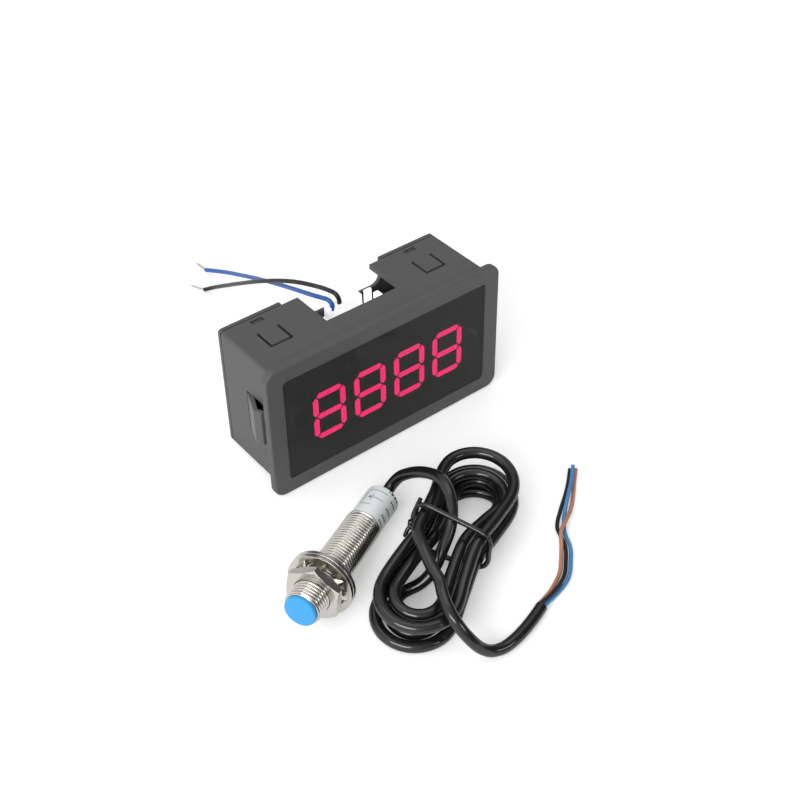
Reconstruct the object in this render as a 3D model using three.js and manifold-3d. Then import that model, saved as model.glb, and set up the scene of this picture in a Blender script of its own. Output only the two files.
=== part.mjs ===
// Digital tachometer: a panel meter with four lit digits, its power lead, and a threaded
// pickup sensor on a cable folded into a tied hank. Millimetres, +Z up, front towards -Y.
import * as THREE from 'three';
import { mergeVertices } from 'three/addons/utils/BufferGeometryUtils.js';
import Module from 'manifold-3d';

const wasm = await Module();
wasm.setup();

// Clearances and shared counts
const seatGap = 0.3;
const fitGap = 0.12;
const cutOverrun = 2;
const roundSides = 32;

// Meter: bezel and lens
const bezelWidth = 79;
const bezelHeight = 43;
const bezelThickness = 2.2;
const bezelCorner = 3.4;
const bezelEdge = 0.5;
const windowWidth = 68.9;
const windowHeight = 33.7;
const windowCorner = 1.2;
const lensRecess = 0.2;
const lensThickness = 1.2;
const lensFlange = 1.2;
const lensFlangeThickness = 0.6;

// Meter: body shell
const bodyWidth = 73.5;
const bodyHeight = 39;
const bodyCorner = 1;
const bodyRear = 25.3;
const wall = 1.6;
const notchWidth = 24.7;
const notchX = 0.5;
const notchFront = 11.6;

// Meter: rear cover
const coverThickness = 1.2;
const coverMouthWidth = 34;
const coverMouthDepth = 8.6;
const coverMouthCorner = 3;
const coverRimDepth = 1.5;
const coverRimThickness = 1.2;
const hookInset = 10.55;
const hookWidth = 3.1;
const hookReach = 2.9;
const hookThickness = 1;
const hookTooth = 1.55;
const hookToothLength = 0.9;
const hookWindowWidth = 3.8;
const hookWindowLength = 1.5;
const hookWindowY = 23.5;

// Meter: tongues that hold the board, cut out of the top and bottom walls
const tongueInset = 10.55;
const tongueWidth = 5.7;
const tongueSlot = 0.8;
const tongueFreeY = 12.2;
const tongueRootY = 18.3;
const tongueHook = 1.1;
const tongueHookLength = 2.6;

// Meter: panel clips, cut out of the side walls
const clipHeight = 11.3;
const clipRootY = 14.5;
const clipCrestY = 7.4;
const clipNoseY = 5.2;
const clipFlare = 2.9;
const clipNoseDrop = 0.9;
const clipThickness = 1.4;
const clipTeeth = 4;
const clipToothDepth = 0.25;
const clipSlot = 0.7;

// Meter: display
const displayX = 0.97;
const displayDrop = 1.3;
const displayWidth = 56;
const displayHeight = 20.5;
const displayDepth = 8.4;
const displayFaceDepth = 1.4;
const digitPitch = 13.7;
const digitHeight = 15.7;
const digitWidth = 10.6;
const strokeWidth = 1.65;
const strokeGap = 0.36;
const wellGap = 0.15;
const digitCount = 4;
const digitBackDepth = 1;
const digitBackMargin = 0.8;

// Meter: board and what it carries
const boardThickness = 1.6;
const boardSideGap = 0.45;
const chipWidth = 12.8;
const chipHeight = 7.5;
const chipThickness = 2.3;
const chipX = -16;
const chipZ = -5;
const regulatorWidth = 6.5;
const regulatorHeight = 6.1;
const regulatorThickness = 2.3;
const regulatorX = 20;
const regulatorZ = 3;
const capacitorDiameter = 6.3;
const capacitorLength = 7;
const capacitorX = 20;
const capacitorZ = -8;

// Meter: connectors
const powerHeaderDepth = 7.1;
const powerHeaderFrontWall = 3.6;
const sensorHeaderDepth = 5.2;
const powerHeaderHeight = 7.2;
const sensorHeaderHeight = 9.2;
const powerHeaderTopDrop = 5.3;
const sensorHeaderTopDrop = 3.2;
const headerWall = 0.8;
const headerFloor = 1.6;
const powerHeaderWidth = 13.6;
const powerHeaderX = -2.3;
const sensorHeaderWidth = 5;
const headerSpacing = 0.35;
const keyWidth = 2.3;
const keyHeight = 2.3;
const headerSlotWidth = 1;
const headerSlotDepth = 3;
const pinSize = 0.64;
const pinLength = 4.6;
const pinPitch = 2.5;
const sensorPinPitch = 2;
const plugHeight = 7.2;
const plugProud = 4.3;
const plugPocketDepth = 5.4;
const plugWall = 0.5;
const plugWindow = 0.8;
const plugWindowDrop = 2.6;
const plugWindowDepth = 0.35;
const wireEntry = 1.8;
const wireEntryDepth = 1.5;

// Power lead
const wireDiameter = 1.3;
const wireTipDiameter = 0.8;
const wireTipLength = 4.5;

// Sensor
const barrelDiameter = 10;
const barrelLength = 46;
const barrelWall = 1.1;
const barrelChamfer = 0.5;
const faceCapProud = 1.2;
const faceCapDepth = 5;
const faceCapWall = 0.9;
const nutFlats = 14;
const nutThickness = 2.6;
const nutChamfer = 0.5;
const nutY = 5.2;
const toothedWasherDiameter = 18;
const toothedWasherBore = 14.4;
const toothedWasherThickness = 0.9;
const toothedWasherDish = 1.3;
const toothCount = 8;
const toothWidth = 2.6;
const plainWasherDiameter = 18;
const plainWasherThickness = 1.2;
const washerClearance = 0.3;
const labelLength = 11.5;
const labelThickness = 0.25;
const labelSeatDiameter = 8.7;
const labelSeatLength = 11.8;
const rearPlugDepth = 4;
const rearPlugProud = 0.5;
const hallBoardLength = 22;
const hallBoardWidth = 6.6;
const hallBoardThickness = 1;
const hallChipSize = 3.2;
const hallChipThickness = 1.5;

// Sensor cable, hank and tie
const cableDiameter = 3.2;
const coreDiameter = 1.1;
const hankInnerRadius = 5.2;
const hankLoopStep = 3.75;
const hankLayerRise = 3.78;
const hankRunHalf = 18.5;
const hankWaistDraw = 2.2;
const hankLift = 2.2;
const hankTurnStretch = 1.05;
const hankStartStraight = 2;
const hankEndStraight = 3.2;
const hankWaistSlope = 0.08;
const tieDiameter = 1.4;
const tieKnotRadius = 1.5;

// Where the pieces of the set lie on the bench, from the middle of the bezel's lower front edge
const sensorRearX = -19;
const sensorRearY = -20;
const sensorBearing = 26.5;
const hankX = -16.5;
const hankY = -43.7;
const hankBearing = 24.9;

// Solid helpers
function solid(geometry) {
  const bare = geometry.clone();
  bare.deleteAttribute('normal');
  bare.deleteAttribute('uv');
  const merged = mergeVertices(bare, 1e-5);
  const index = merged.index.array;
  const mesh = new wasm.Mesh({
    numProp: 3,
    vertProperties: new Float32Array(merged.attributes.position.array),
    triVerts: new Uint32Array(index),
  });
  return new wasm.Manifold(mesh);
}

function geometryOf(manifold) {
  const mesh = manifold.getMesh();
  const geometry = new THREE.BufferGeometry();
  geometry.setAttribute('position', new THREE.BufferAttribute(new Float32Array(mesh.vertProperties), 3));
  geometry.setIndex(new THREE.BufferAttribute(new Uint32Array(mesh.triVerts), 1));
  const flat = geometry.toNonIndexed();
  flat.computeVertexNormals();
  return flat;
}

function join(parts) {
  return parts.reduce((whole, part) => whole.add(part));
}

function block(low, high) {
  const size = high.map((value, axis) => value - low[axis]);
  const middle = high.map((value, axis) => (value + low[axis]) / 2);
  return solid(new THREE.BoxGeometry(...size).translate(...middle));
}

function roundedOutline(width, height, corner, cornerSteps) {
  const points = [];
  const centres = [[1, -1, -1], [1, 1, 0], [-1, 1, 1], [-1, -1, 2]];
  for (const [sideX, sideZ, quarters] of centres) {
    for (let step = 0; step <= cornerSteps; step += 1) {
      const angle = (quarters + step / cornerSteps) * (Math.PI / 2);
      const x = sideX * (width / 2 - corner) + corner * Math.cos(angle);
      const z = sideZ * (height / 2 - corner) + corner * Math.sin(angle);
      points.push(new THREE.Vector2(x, z));
    }
  }
  return points;
}

// A prism whose outline lies in X and Z and whose length runs along +Y from startY.
function prismAlongY(outline, startY, length) {
  const geometry = new THREE.ExtrudeGeometry(new THREE.Shape(outline), { depth: length, bevelEnabled: false });
  return solid(geometry.rotateX(Math.PI / 2).translate(0, startY + length, 0));
}

// A prism whose outline lies in X and Y and whose height is centred on middleZ.
function prismAlongZ(outline, middleZ, height) {
  const geometry = new THREE.ExtrudeGeometry(new THREE.Shape(outline), { depth: height, bevelEnabled: false });
  return solid(geometry.translate(0, 0, middleZ - height / 2));
}

// A closed stack of rings with as many points each, capped flat at both ends. Each ring runs
// counterclockwise about the direction in which the stack grows.
function stackedRings(rings) {
  const positions = rings.flat(2);
  const count = rings[0].length;
  const triangles = [];
  for (let ring = 0; ring + 1 < rings.length; ring += 1) {
    for (let point = 0; point < count; point += 1) {
      const a = ring * count + point;
      const b = ring * count + ((point + 1) % count);
      triangles.push(a, b, b + count, a, b + count, a + count);
    }
  }
  const last = (rings.length - 1) * count;
  for (let point = 1; point + 1 < count; point += 1) {
    triangles.push(0, point + 1, point);
    triangles.push(last, last + point, last + point + 1);
  }
  const geometry = new THREE.BufferGeometry();
  geometry.setAttribute('position', new THREE.Float32BufferAttribute(positions, 3));
  geometry.setIndex(triangles);
  return geometry;
}

function turned(profile, sides = roundSides) {
  const points = profile.map(([radius, y]) => new THREE.Vector2(radius, y));
  return new THREE.LatheGeometry(points, sides);
}

function finish(colour, roughness, metalness) {
  return new THREE.MeshStandardMaterial({ color: colour, roughness, metalness });
}

const housingPlastic = finish(0x4e4e50, 0.55, 0);
const clipPlastic = finish(0x565658, 0.5, 0);
const smokedPlastic = finish(0x2c2c2e, 0.15, 0);
const displayPlastic = finish(0x17181a, 0.6, 0);
const segmentResin = finish(0xf23a6d, 0.35, 0);
const boardGreen = finish(0x1f5a3a, 0.5, 0);
const chipBlack = finish(0x1b1b1c, 0.5, 0);
const canAluminium = finish(0xb9bbbe, 0.3, 0.8);
const nylonWhite = finish(0xe9e9e6, 0.45, 0);
const tinnedBrass = finish(0xc9c4b4, 0.3, 0.9);
const nickelPlate = finish(0xb8b6b0, 0.25, 1);
const capBlue = finish(0x46a6ee, 0.45, 0);
const labelFilm = finish(0xc6d2d8, 0.35, 0);
const cableJacket = finish(0x1c1d20, 0.4, 0);
const wireBlue = finish(0x1f3fae, 0.4, 0);
const wireBlack = finish(0x1a1a1c, 0.4, 0);
const wireBrown = finish(0x9a5c48, 0.45, 0);

function piece(name, geometry, material, parent) {
  const mesh = new THREE.Mesh(geometry, material);
  mesh.name = name;
  parent.add(mesh);
  return mesh;
}

const tachometer = new THREE.Group();
const bench = new THREE.Group();
tachometer.add(bench);

// The meter leans back on the bezel's lower rear edge and the cover's lower edge.
const coverFront = bodyRear + seatGap;
const coverRear = coverFront + coverThickness;
const bodyDrop = (bezelHeight - bodyHeight) / 2;
const meterLean = Math.atan(bodyDrop / (coverRear - bezelThickness));
const meter = new THREE.Group();
meter.rotation.x = -meterLean;
meter.position.y = (bezelHeight / 2) * Math.sin(meterLean);
meter.position.z = (bezelHeight / 2) * Math.cos(meterLean) + bezelThickness * Math.sin(meterLean);
bench.add(meter);

const innerWidth = bodyWidth - 2 * wall;
const innerHeight = bodyHeight - 2 * wall;
const hookX = bodyWidth / 2 - hookInset;
const tongueX = bodyWidth / 2 - tongueInset;
const boardWidth = innerWidth - 2 * boardSideGap;
const lensPocketWidth = windowWidth + 2 * lensFlange;
const lensPocketHeight = windowHeight + 2 * lensFlange;
const lensFlangeFront = lensRecess + lensThickness - lensFlangeThickness;

// Front housing: bezel, body shell and every opening cut in them
function bezelPlate() {
  const edgeSteps = 4;
  const rings = [];
  for (let step = 0; step <= edgeSteps; step += 1) {
    const angle = (Math.PI / 2) * (step / edgeSteps);
    const inset = bezelEdge * (1 - Math.sin(angle));
    const y = bezelEdge * (1 - Math.cos(angle));
    const outline = roundedOutline(bezelWidth - 2 * inset, bezelHeight - 2 * inset, bezelCorner - inset, 6);
    rings.push(outline.map((point) => [point.x, y, point.y]).reverse());
  }
  const back = roundedOutline(bezelWidth, bezelHeight, bezelCorner, 6);
  rings.push(back.map((point) => [point.x, bezelThickness, point.y]).reverse());
  return solid(stackedRings(rings));
}

function tongueHole(side, level) {
  const halfWidth = tongueWidth / 2 + tongueSlot;
  const outer = level * (bodyHeight / 2 + cutOverrun);
  const inner = level * (innerHeight / 2 - cutOverrun);
  return block(
    [side * tongueX - halfWidth, tongueFreeY - tongueSlot, Math.min(inner, outer)],
    [side * tongueX + halfWidth, tongueRootY + seatGap, Math.max(inner, outer)],
  );
}

function hookWindow(side, level) {
  const outer = level * (bodyHeight / 2 + cutOverrun);
  const inner = level * (innerHeight / 2 - cutOverrun);
  return block(
    [side * hookX - hookWindowWidth / 2, hookWindowY - hookWindowLength / 2, Math.min(inner, outer)],
    [side * hookX + hookWindowWidth / 2, hookWindowY + hookWindowLength / 2, Math.max(inner, outer)],
  );
}

function clipHole(side) {
  const outer = side * (bodyWidth / 2 + cutOverrun);
  const inner = side * (innerWidth / 2 - cutOverrun);
  const halfHeight = clipHeight / 2 + clipSlot;
  return block(
    [Math.min(inner, outer), clipNoseY - clipSlot, -halfHeight],
    [Math.max(inner, outer), clipRootY + seatGap, halfHeight],
  );
}

function frontHousing() {
  const body = prismAlongY(roundedOutline(bodyWidth, bodyHeight, bodyCorner, 3), bezelThickness / 2,
    bodyRear - bezelThickness / 2);
  let shell = bezelPlate().add(body);
  const cavityLow = [-innerWidth / 2, bezelThickness, -innerHeight / 2];
  const cavityHigh = [innerWidth / 2, bodyRear + cutOverrun, innerHeight / 2];
  const windowOutline = roundedOutline(windowWidth, windowHeight, windowCorner, 3);
  const pocketLow = [-lensPocketWidth / 2, lensFlangeFront - seatGap, -lensPocketHeight / 2];
  const pocketHigh = [lensPocketWidth / 2, bezelThickness + cutOverrun / 2, lensPocketHeight / 2];
  const notchLow = [notchX - notchWidth / 2, notchFront, innerHeight / 2 - cutOverrun];
  const notchHigh = [notchX + notchWidth / 2, bodyRear + cutOverrun, bodyHeight / 2 + cutOverrun];
  shell = shell.subtract(block(cavityLow, cavityHigh));
  shell = shell.subtract(prismAlongY(windowOutline, -cutOverrun, bezelThickness + 2 * cutOverrun));
  shell = shell.subtract(block(pocketLow, pocketHigh));
  shell = shell.subtract(block(notchLow, notchHigh));
  for (const side of [-1, 1]) {
    shell = shell.subtract(clipHole(side));
    for (const level of [-1, 1]) {
      shell = shell.subtract(tongueHole(side, level));
      shell = shell.subtract(hookWindow(side, level));
    }
  }
  return geometryOf(shell);
}

piece('front_housing', frontHousing(), housingPlastic, meter);

// Rear cover: plate with a mouth for the leads, a locating rim and four hooks
function coverHook(side, level) {
  const outerZ = innerHeight / 2 - seatGap;
  const innerZ = outerZ - hookThickness;
  const tipY = coverFront - hookReach;
  const toothTop = outerZ + hookTooth;
  const arm = block([side * hookX - hookWidth / 2, tipY, innerZ],
    [side * hookX + hookWidth / 2, coverFront + coverThickness / 2, outerZ]);
  const toothY = hookWindowY - hookToothLength / 2;
  const outline = [
    new THREE.Vector2(toothY, outerZ - hookThickness / 2),
    new THREE.Vector2(toothY + hookToothLength, outerZ - hookThickness / 2),
    new THREE.Vector2(toothY + hookToothLength, toothTop),
    new THREE.Vector2(toothY + hookToothLength / 3, toothTop),
    new THREE.Vector2(toothY, outerZ),
  ];
  const tooth = new THREE.ExtrudeGeometry(new THREE.Shape(outline), { depth: hookWidth, bevelEnabled: false });
  tooth.rotateY(Math.PI / 2).rotateX(Math.PI / 2);
  tooth.translate(side * hookX - hookWidth / 2, 0, 0);
  const upright = arm.add(solid(tooth));
  return level > 0 ? upright : upright.rotate([0, 180, 0]).translate([2 * side * hookX, 0, 0]);
}

function rearCover() {
  let cover = prismAlongY(roundedOutline(bodyWidth, bodyHeight, bodyCorner, 3), coverFront, coverThickness);
  const rimOuter = roundedOutline(innerWidth - 2 * seatGap, innerHeight - 2 * seatGap, bodyCorner, 2);
  const rimInnerWidth = innerWidth - 2 * seatGap - 2 * coverRimThickness;
  const rimInnerHeight = innerHeight - 2 * seatGap - 2 * coverRimThickness;
  const rimStart = coverFront - coverRimDepth;
  const rim = prismAlongY(rimOuter, rimStart, coverRimDepth + coverThickness / 2);
  const rimHole = block([-rimInnerWidth / 2, rimStart - cutOverrun, -rimInnerHeight / 2],
    [rimInnerWidth / 2, coverFront, rimInnerHeight / 2]);
  cover = cover.add(rim.subtract(rimHole));
  const mouth = roundedOutline(coverMouthWidth, 2 * coverMouthDepth, coverMouthCorner, 4);
  const mouthPrism = prismAlongY(mouth, rimStart - cutOverrun, coverRimDepth + coverThickness + 2 * cutOverrun);
  cover = cover.subtract(mouthPrism.translate([0, 0, bodyHeight / 2]));
  for (const side of [-1, 1]) {
    for (const level of [-1, 1]) {
      cover = cover.add(coverHook(side, level));
    }
  }
  return geometryOf(cover);
}

piece('rear_cover', rearCover(), housingPlastic, meter);

// Smoked lens: a raised pane in the window and a flange in the pocket behind it
function smokedLens() {
  const paneWidth = windowWidth - 2 * fitGap;
  const paneHeight = windowHeight - 2 * fitGap;
  const pane = prismAlongY(roundedOutline(paneWidth, paneHeight, windowCorner, 3), lensRecess, lensThickness);
  const flangeWidth = lensPocketWidth - 2 * seatGap;
  const flangeHeight = lensPocketHeight - 2 * seatGap;
  const flangeLow = [-flangeWidth / 2, lensFlangeFront, -flangeHeight / 2];
  const flangeHigh = [flangeWidth / 2, lensFlangeFront + lensFlangeThickness, flangeHeight / 2];
  return geometryOf(pane.add(block(flangeLow, flangeHigh)));
}

piece('smoked_lens', smokedLens(), smokedPlastic, meter);

// Seven bar outlines of one figure, each a long hexagon
const displayFront = lensRecess + lensThickness + seatGap;

function barOutline(fromX, fromZ, toX, toZ, width) {
  const along = new THREE.Vector2(toX - fromX, toZ - fromZ).normalize();
  const across = new THREE.Vector2(-along.y, along.x).multiplyScalar(width / 2);
  const shoulder = along.clone().multiplyScalar(width / 2);
  const from = new THREE.Vector2(fromX, fromZ);
  const to = new THREE.Vector2(toX, toZ);
  return [
    from.clone(),
    from.clone().add(shoulder).sub(across),
    to.clone().sub(shoulder).sub(across),
    to.clone(),
    to.clone().sub(shoulder).add(across),
    from.clone().add(shoulder).add(across),
  ];
}

function figureBars(middleX, growth) {
  const left = middleX - digitWidth / 2 + strokeWidth / 2;
  const right = middleX + digitWidth / 2 - strokeWidth / 2;
  const low = -displayDrop - digitHeight / 2 + strokeWidth / 2;
  const high = -displayDrop + digitHeight / 2 - strokeWidth / 2;
  const middle = (low + high) / 2;
  const trim = strokeGap - growth;
  const width = strokeWidth + 2 * growth;
  const bars = [];
  for (const level of [low, middle, high]) {
    bars.push(barOutline(left + trim, level, right - trim, level, width));
  }
  for (const side of [left, right]) {
    bars.push(barOutline(side, low + trim, side, middle - trim, width));
    bars.push(barOutline(side, middle + trim, side, high - trim, width));
  }
  return bars;
}

function figureX(index) {
  return displayX + (index - (digitCount - 1) / 2) * digitPitch;
}

// Display block: a face with a well for every bar and a recess behind for the light guides
function displayBlock() {
  const low = [displayX - displayWidth / 2, displayFront, -displayDrop - displayHeight / 2];
  const high = [displayX + displayWidth / 2, displayFront + displayDepth, -displayDrop + displayHeight / 2];
  let blockSolid = block(low, high);
  const backWidth = digitWidth + 2 * digitBackMargin;
  const backHeight = digitHeight + 2 * digitBackMargin;
  for (let index = 0; index < digitCount; index += 1) {
    const recessLow = [figureX(index) - backWidth / 2, displayFront + displayFaceDepth, -displayDrop - backHeight / 2];
    const recessHigh = [figureX(index) + backWidth / 2, high[1] + cutOverrun, -displayDrop + backHeight / 2];
    blockSolid = blockSolid.subtract(block(recessLow, recessHigh));
    for (const bar of figureBars(figureX(index), wellGap)) {
      blockSolid = blockSolid.subtract(prismAlongY(bar, displayFront - cutOverrun, displayFaceDepth + 2 * cutOverrun));
    }
  }
  return geometryOf(blockSolid);
}

piece('display_block', displayBlock(), displayPlastic, meter);

function lightGuide(index) {
  const backFront = displayFront + displayFaceDepth + seatGap;
  const backWidth = digitWidth + 2 * digitBackMargin - 2 * seatGap;
  const backHeight = digitHeight + 2 * digitBackMargin - 2 * seatGap;
  const low = [figureX(index) - backWidth / 2, backFront, -displayDrop - backHeight / 2];
  const high = [figureX(index) + backWidth / 2, backFront + digitBackDepth, -displayDrop + backHeight / 2];
  let guide = block(low, high);
  for (const bar of figureBars(figureX(index), 0)) {
    guide = guide.add(prismAlongY(bar, displayFront, displayFaceDepth + seatGap + digitBackDepth / 2));
  }
  return geometryOf(guide);
}

for (let index = 0; index < digitCount; index += 1) {
  piece(`digit_${index + 1}`, lightGuide(index), segmentResin, meter);
}

// Main board and the parts on its rear face
const boardFront = displayFront + displayDepth + seatGap;
const boardBack = boardFront + boardThickness;
const boardHeight = innerHeight - 2 * seatGap;
const partFront = boardBack + seatGap;

piece('main_board', geometryOf(block([-boardWidth / 2, boardFront, -boardHeight / 2],
  [boardWidth / 2, boardBack, boardHeight / 2])), boardGreen, meter);

function chipBody(middleX, middleZ, width, height, thickness) {
  const shoulder = thickness / 4;
  const rings = [[0, shoulder], [thickness / 2, 0], [thickness, shoulder]].map(([depth, inset]) => [
    [middleX - width / 2 + inset, partFront + depth, middleZ - height / 2 + inset],
    [middleX + width / 2 - inset, partFront + depth, middleZ - height / 2 + inset],
    [middleX + width / 2 - inset, partFront + depth, middleZ + height / 2 - inset],
    [middleX - width / 2 + inset, partFront + depth, middleZ + height / 2 - inset],
  ].reverse());
  return geometryOf(solid(stackedRings(rings)));
}

piece('microcontroller', chipBody(chipX, chipZ, chipWidth, chipHeight, chipThickness), chipBlack, meter);
piece('voltage_regulator', chipBody(regulatorX, regulatorZ, regulatorWidth, regulatorHeight, regulatorThickness),
  chipBlack, meter);

function capacitorCan() {
  const radius = capacitorDiameter / 2;
  const waist = radius * 0.93;
  const profile = [
    [0, 0], [radius, 0], [radius, capacitorLength * 0.16], [waist, capacitorLength * 0.22],
    [radius, capacitorLength * 0.28], [radius, capacitorLength * 0.95], [radius * 0.92, capacitorLength],
    [0, capacitorLength],
  ];
  return turned(profile, 20).translate(capacitorX, partFront, capacitorZ);
}

piece('input_capacitor', capacitorCan(), canAluminium, meter);

// Connector headers open upwards through the notch
const sensorHeaderX = powerHeaderX + powerHeaderWidth / 2 + headerSpacing + sensorHeaderWidth / 2;

function header(size) {
  const low = [size.x - size.width / 2, partFront, size.top - size.height];
  const high = [size.x + size.width / 2, partFront + size.depth, size.top];
  const inner = block(
    [low[0] + headerWall, low[1] + size.frontWall, low[2] + headerFloor],
    [high[0] - headerWall, high[1] - headerWall, high[2] + cutOverrun],
  );
  let shell = block(low, high).subtract(inner);
  for (const offset of size.slots) {
    shell = shell.subtract(block(
      [size.x + offset - headerSlotWidth / 2, high[1] - headerWall - cutOverrun / 2, high[2] - headerSlotDepth],
      [size.x + offset + headerSlotWidth / 2, high[1] + cutOverrun, high[2] + cutOverrun],
    ));
  }
  return shell;
}

const powerHeaderTop = bodyHeight / 2 - powerHeaderTopDrop;
const sensorHeaderTop = bodyHeight / 2 - sensorHeaderTopDrop;

// The sensor header's rear wall carries a key that stands above its rim
function headerKey() {
  const left = sensorHeaderX - sensorHeaderWidth / 2;
  const rear = partFront + sensorHeaderDepth;
  return block([left, rear - headerWall, sensorHeaderTop - headerWall], [left + keyWidth, rear, sensorHeaderTop + keyHeight]);
}

const powerHeader = header({
  x: powerHeaderX,
  width: powerHeaderWidth,
  top: powerHeaderTop,
  height: powerHeaderHeight,
  depth: powerHeaderDepth,
  frontWall: powerHeaderFrontWall,
  slots: [-pinPitch, pinPitch],
});
const sensorHeader = header({
  x: sensorHeaderX,
  width: sensorHeaderWidth,
  top: sensorHeaderTop,
  height: sensorHeaderHeight,
  depth: sensorHeaderDepth,
  frontWall: headerWall,
  slots: [keyWidth - sensorHeaderWidth / 2 + headerSlotWidth / 2],
});
piece('power_header', geometryOf(powerHeader), nylonWhite, meter);
piece('sensor_header', geometryOf(sensorHeader.add(headerKey())), nylonWhite, meter);

const powerCavityDepth = powerHeaderDepth - powerHeaderFrontWall - headerWall;
const plugX = powerHeaderX;
const plugY = partFront + powerHeaderFrontWall + powerCavityDepth / 2;
const plugWidth = powerHeaderWidth - 2 * headerWall - 2 * seatGap;
const sensorPinY = partFront + sensorHeaderDepth / 2;
const powerPinFoot = powerHeaderTop - powerHeaderHeight + headerFloor + fitGap;
const sensorPinFoot = sensorHeaderTop - sensorHeaderHeight + headerFloor + fitGap;
const plugPlaces = [-3, -1, 1, 3].map((share) => plugX + (share * pinPitch) / 2);
const pinPlaces = plugPlaces.map((x) => [x, plugY, powerPinFoot]);
for (const share of [-1, 1]) {
  pinPlaces.push([sensorHeaderX + (share * sensorPinPitch) / 2, sensorPinY, sensorPinFoot]);
}

pinPlaces.forEach(([x, y, foot], index) => {
  const low = [x - pinSize / 2, y - pinSize / 2, foot];
  const high = [x + pinSize / 2, y + pinSize / 2, foot + pinLength];
  piece(`header_pin_${index + 1}`, geometryOf(block(low, high)), tinnedBrass, meter);
});

const plugDepth = powerCavityDepth - 2 * seatGap;
const plugTop = powerHeaderTop + plugProud;
const plugBottom = plugTop - plugHeight;

// Power plug: four wire entries in its top, the first open to the front, and a latch window below each other
function powerPlug() {
  const low = [plugX - plugWidth / 2, plugY - plugDepth / 2, plugBottom];
  const high = [plugX + plugWidth / 2, plugY + plugDepth / 2, plugTop];
  let body = block(low, high).subtract(block(
    [low[0] + plugWall, low[1] + plugWall, low[2] - cutOverrun],
    [high[0] - plugWall, high[1] - plugWall, low[2] + plugPocketDepth],
  ));
  plugPlaces.forEach((x, index) => {
    const entryFront = index === 0 ? low[1] - cutOverrun : plugY - wireEntry / 2;
    body = body.subtract(block([x - wireEntry / 2, entryFront, plugTop - wireEntryDepth],
      [x + wireEntry / 2, plugY + wireEntry / 2, plugTop + cutOverrun]));
    if (index === 0) return;
    body = body.subtract(block([x - plugWindow / 2, low[1] - cutOverrun, plugTop - plugWindowDrop],
      [x + plugWindow / 2, low[1] + plugWindowDepth, plugTop - plugWindowDrop + plugWindow]));
  });
  return geometryOf(body);
}

piece('power_plug', powerPlug(), nylonWhite, meter);

// Tongues in the top and bottom walls: free end forward, hooked behind the board
function boardTongue(side, level) {
  const outline = [
    new THREE.Vector2(tongueFreeY, bodyHeight / 2),
    new THREE.Vector2(tongueFreeY, innerHeight / 2 - tongueHook),
    new THREE.Vector2(tongueFreeY + tongueHookLength / 3, innerHeight / 2 - tongueHook),
    new THREE.Vector2(tongueFreeY + tongueHookLength, innerHeight / 2),
    new THREE.Vector2(tongueRootY, innerHeight / 2),
    new THREE.Vector2(tongueRootY, bodyHeight / 2),
  ];
  const geometry = new THREE.ExtrudeGeometry(new THREE.Shape(outline), { depth: tongueWidth, bevelEnabled: false });
  geometry.rotateY(Math.PI / 2).rotateX(Math.PI / 2);
  geometry.translate(side * tongueX - tongueWidth / 2, 0, 0);
  const upright = solid(geometry);
  return level > 0 ? upright : upright.rotate([0, 180, 0]).translate([2 * side * tongueX, 0, 0]);
}

for (const [levelName, level] of [['top', 1], ['bottom', -1]]) {
  for (const [sideName, side] of [['left', -1], ['right', 1]]) {
    piece(`${levelName}_tongue_${sideName}`, geometryOf(boardTongue(side, level)), clipPlastic, meter);
  }
}

// Panel clips: flared tongues with a toothed back slope that grips the panel's edge
function panelClip(side) {
  const wallX = bodyWidth / 2;
  const outline = [
    new THREE.Vector2(wallX - wall, clipRootY),
    new THREE.Vector2(wallX, clipRootY),
    new THREE.Vector2(wallX + clipFlare, clipCrestY),
  ];
  const slopeX = clipNoseDrop / clipTeeth;
  const slopeY = (clipCrestY - clipNoseY) / clipTeeth;
  for (let tooth = 0; tooth < clipTeeth; tooth += 1) {
    const x = wallX + clipFlare - slopeX * (tooth + 1);
    const y = clipCrestY - slopeY * (tooth + 1);
    outline.push(new THREE.Vector2(x - clipToothDepth, y + slopeY * 0.6));
    outline.push(new THREE.Vector2(x, y));
  }
  outline.push(new THREE.Vector2(wallX + clipFlare - clipNoseDrop - clipThickness, clipNoseY));
  outline.push(new THREE.Vector2(wallX + clipFlare - clipThickness, clipCrestY));
  const right = prismAlongZ(outline, 0, clipHeight);
  return geometryOf(side > 0 ? right : right.rotate([0, 0, 180]).mirror([0, 1, 0]));
}

piece('panel_clip_left', panelClip(-1), clipPlastic, meter);
piece('panel_clip_right', panelClip(1), clipPlastic, meter);

// Sensor: its own Y axis runs from the sensing face to the cable
const barrelRadius = barrelDiameter / 2;
const boreRadius = barrelRadius - barrelWall;
const nutBack = nutY + nutThickness;
const toothedFront = nutBack + seatGap;
const toothedRimFront = toothedFront + toothedWasherDish;
const plainFront = toothedRimFront + toothedWasherThickness + seatGap;
const plainBack = plainFront + plainWasherThickness;
const labelSeatRadius = labelSeatDiameter / 2;
const labelRadius = labelSeatRadius + fitGap + labelThickness;
const propReach = barrelLength - plainBack;
const sensorTilt = Math.atan((plainWasherDiameter / 2 - labelRadius) / propReach);

const sensor = new THREE.Group();
sensor.rotation.order = 'ZXY';
sensor.rotation.z = THREE.MathUtils.degToRad(sensorBearing - 90);
sensor.rotation.x = -sensorTilt;
const sensorRearHeight = labelRadius * Math.cos(sensorTilt);
const sensorAxis = new THREE.Vector3(0, 1, 0).applyEuler(sensor.rotation);
sensor.position.set(sensorRearX, sensorRearY, sensorRearHeight).addScaledVector(sensorAxis, -barrelLength);
bench.add(sensor);

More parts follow.
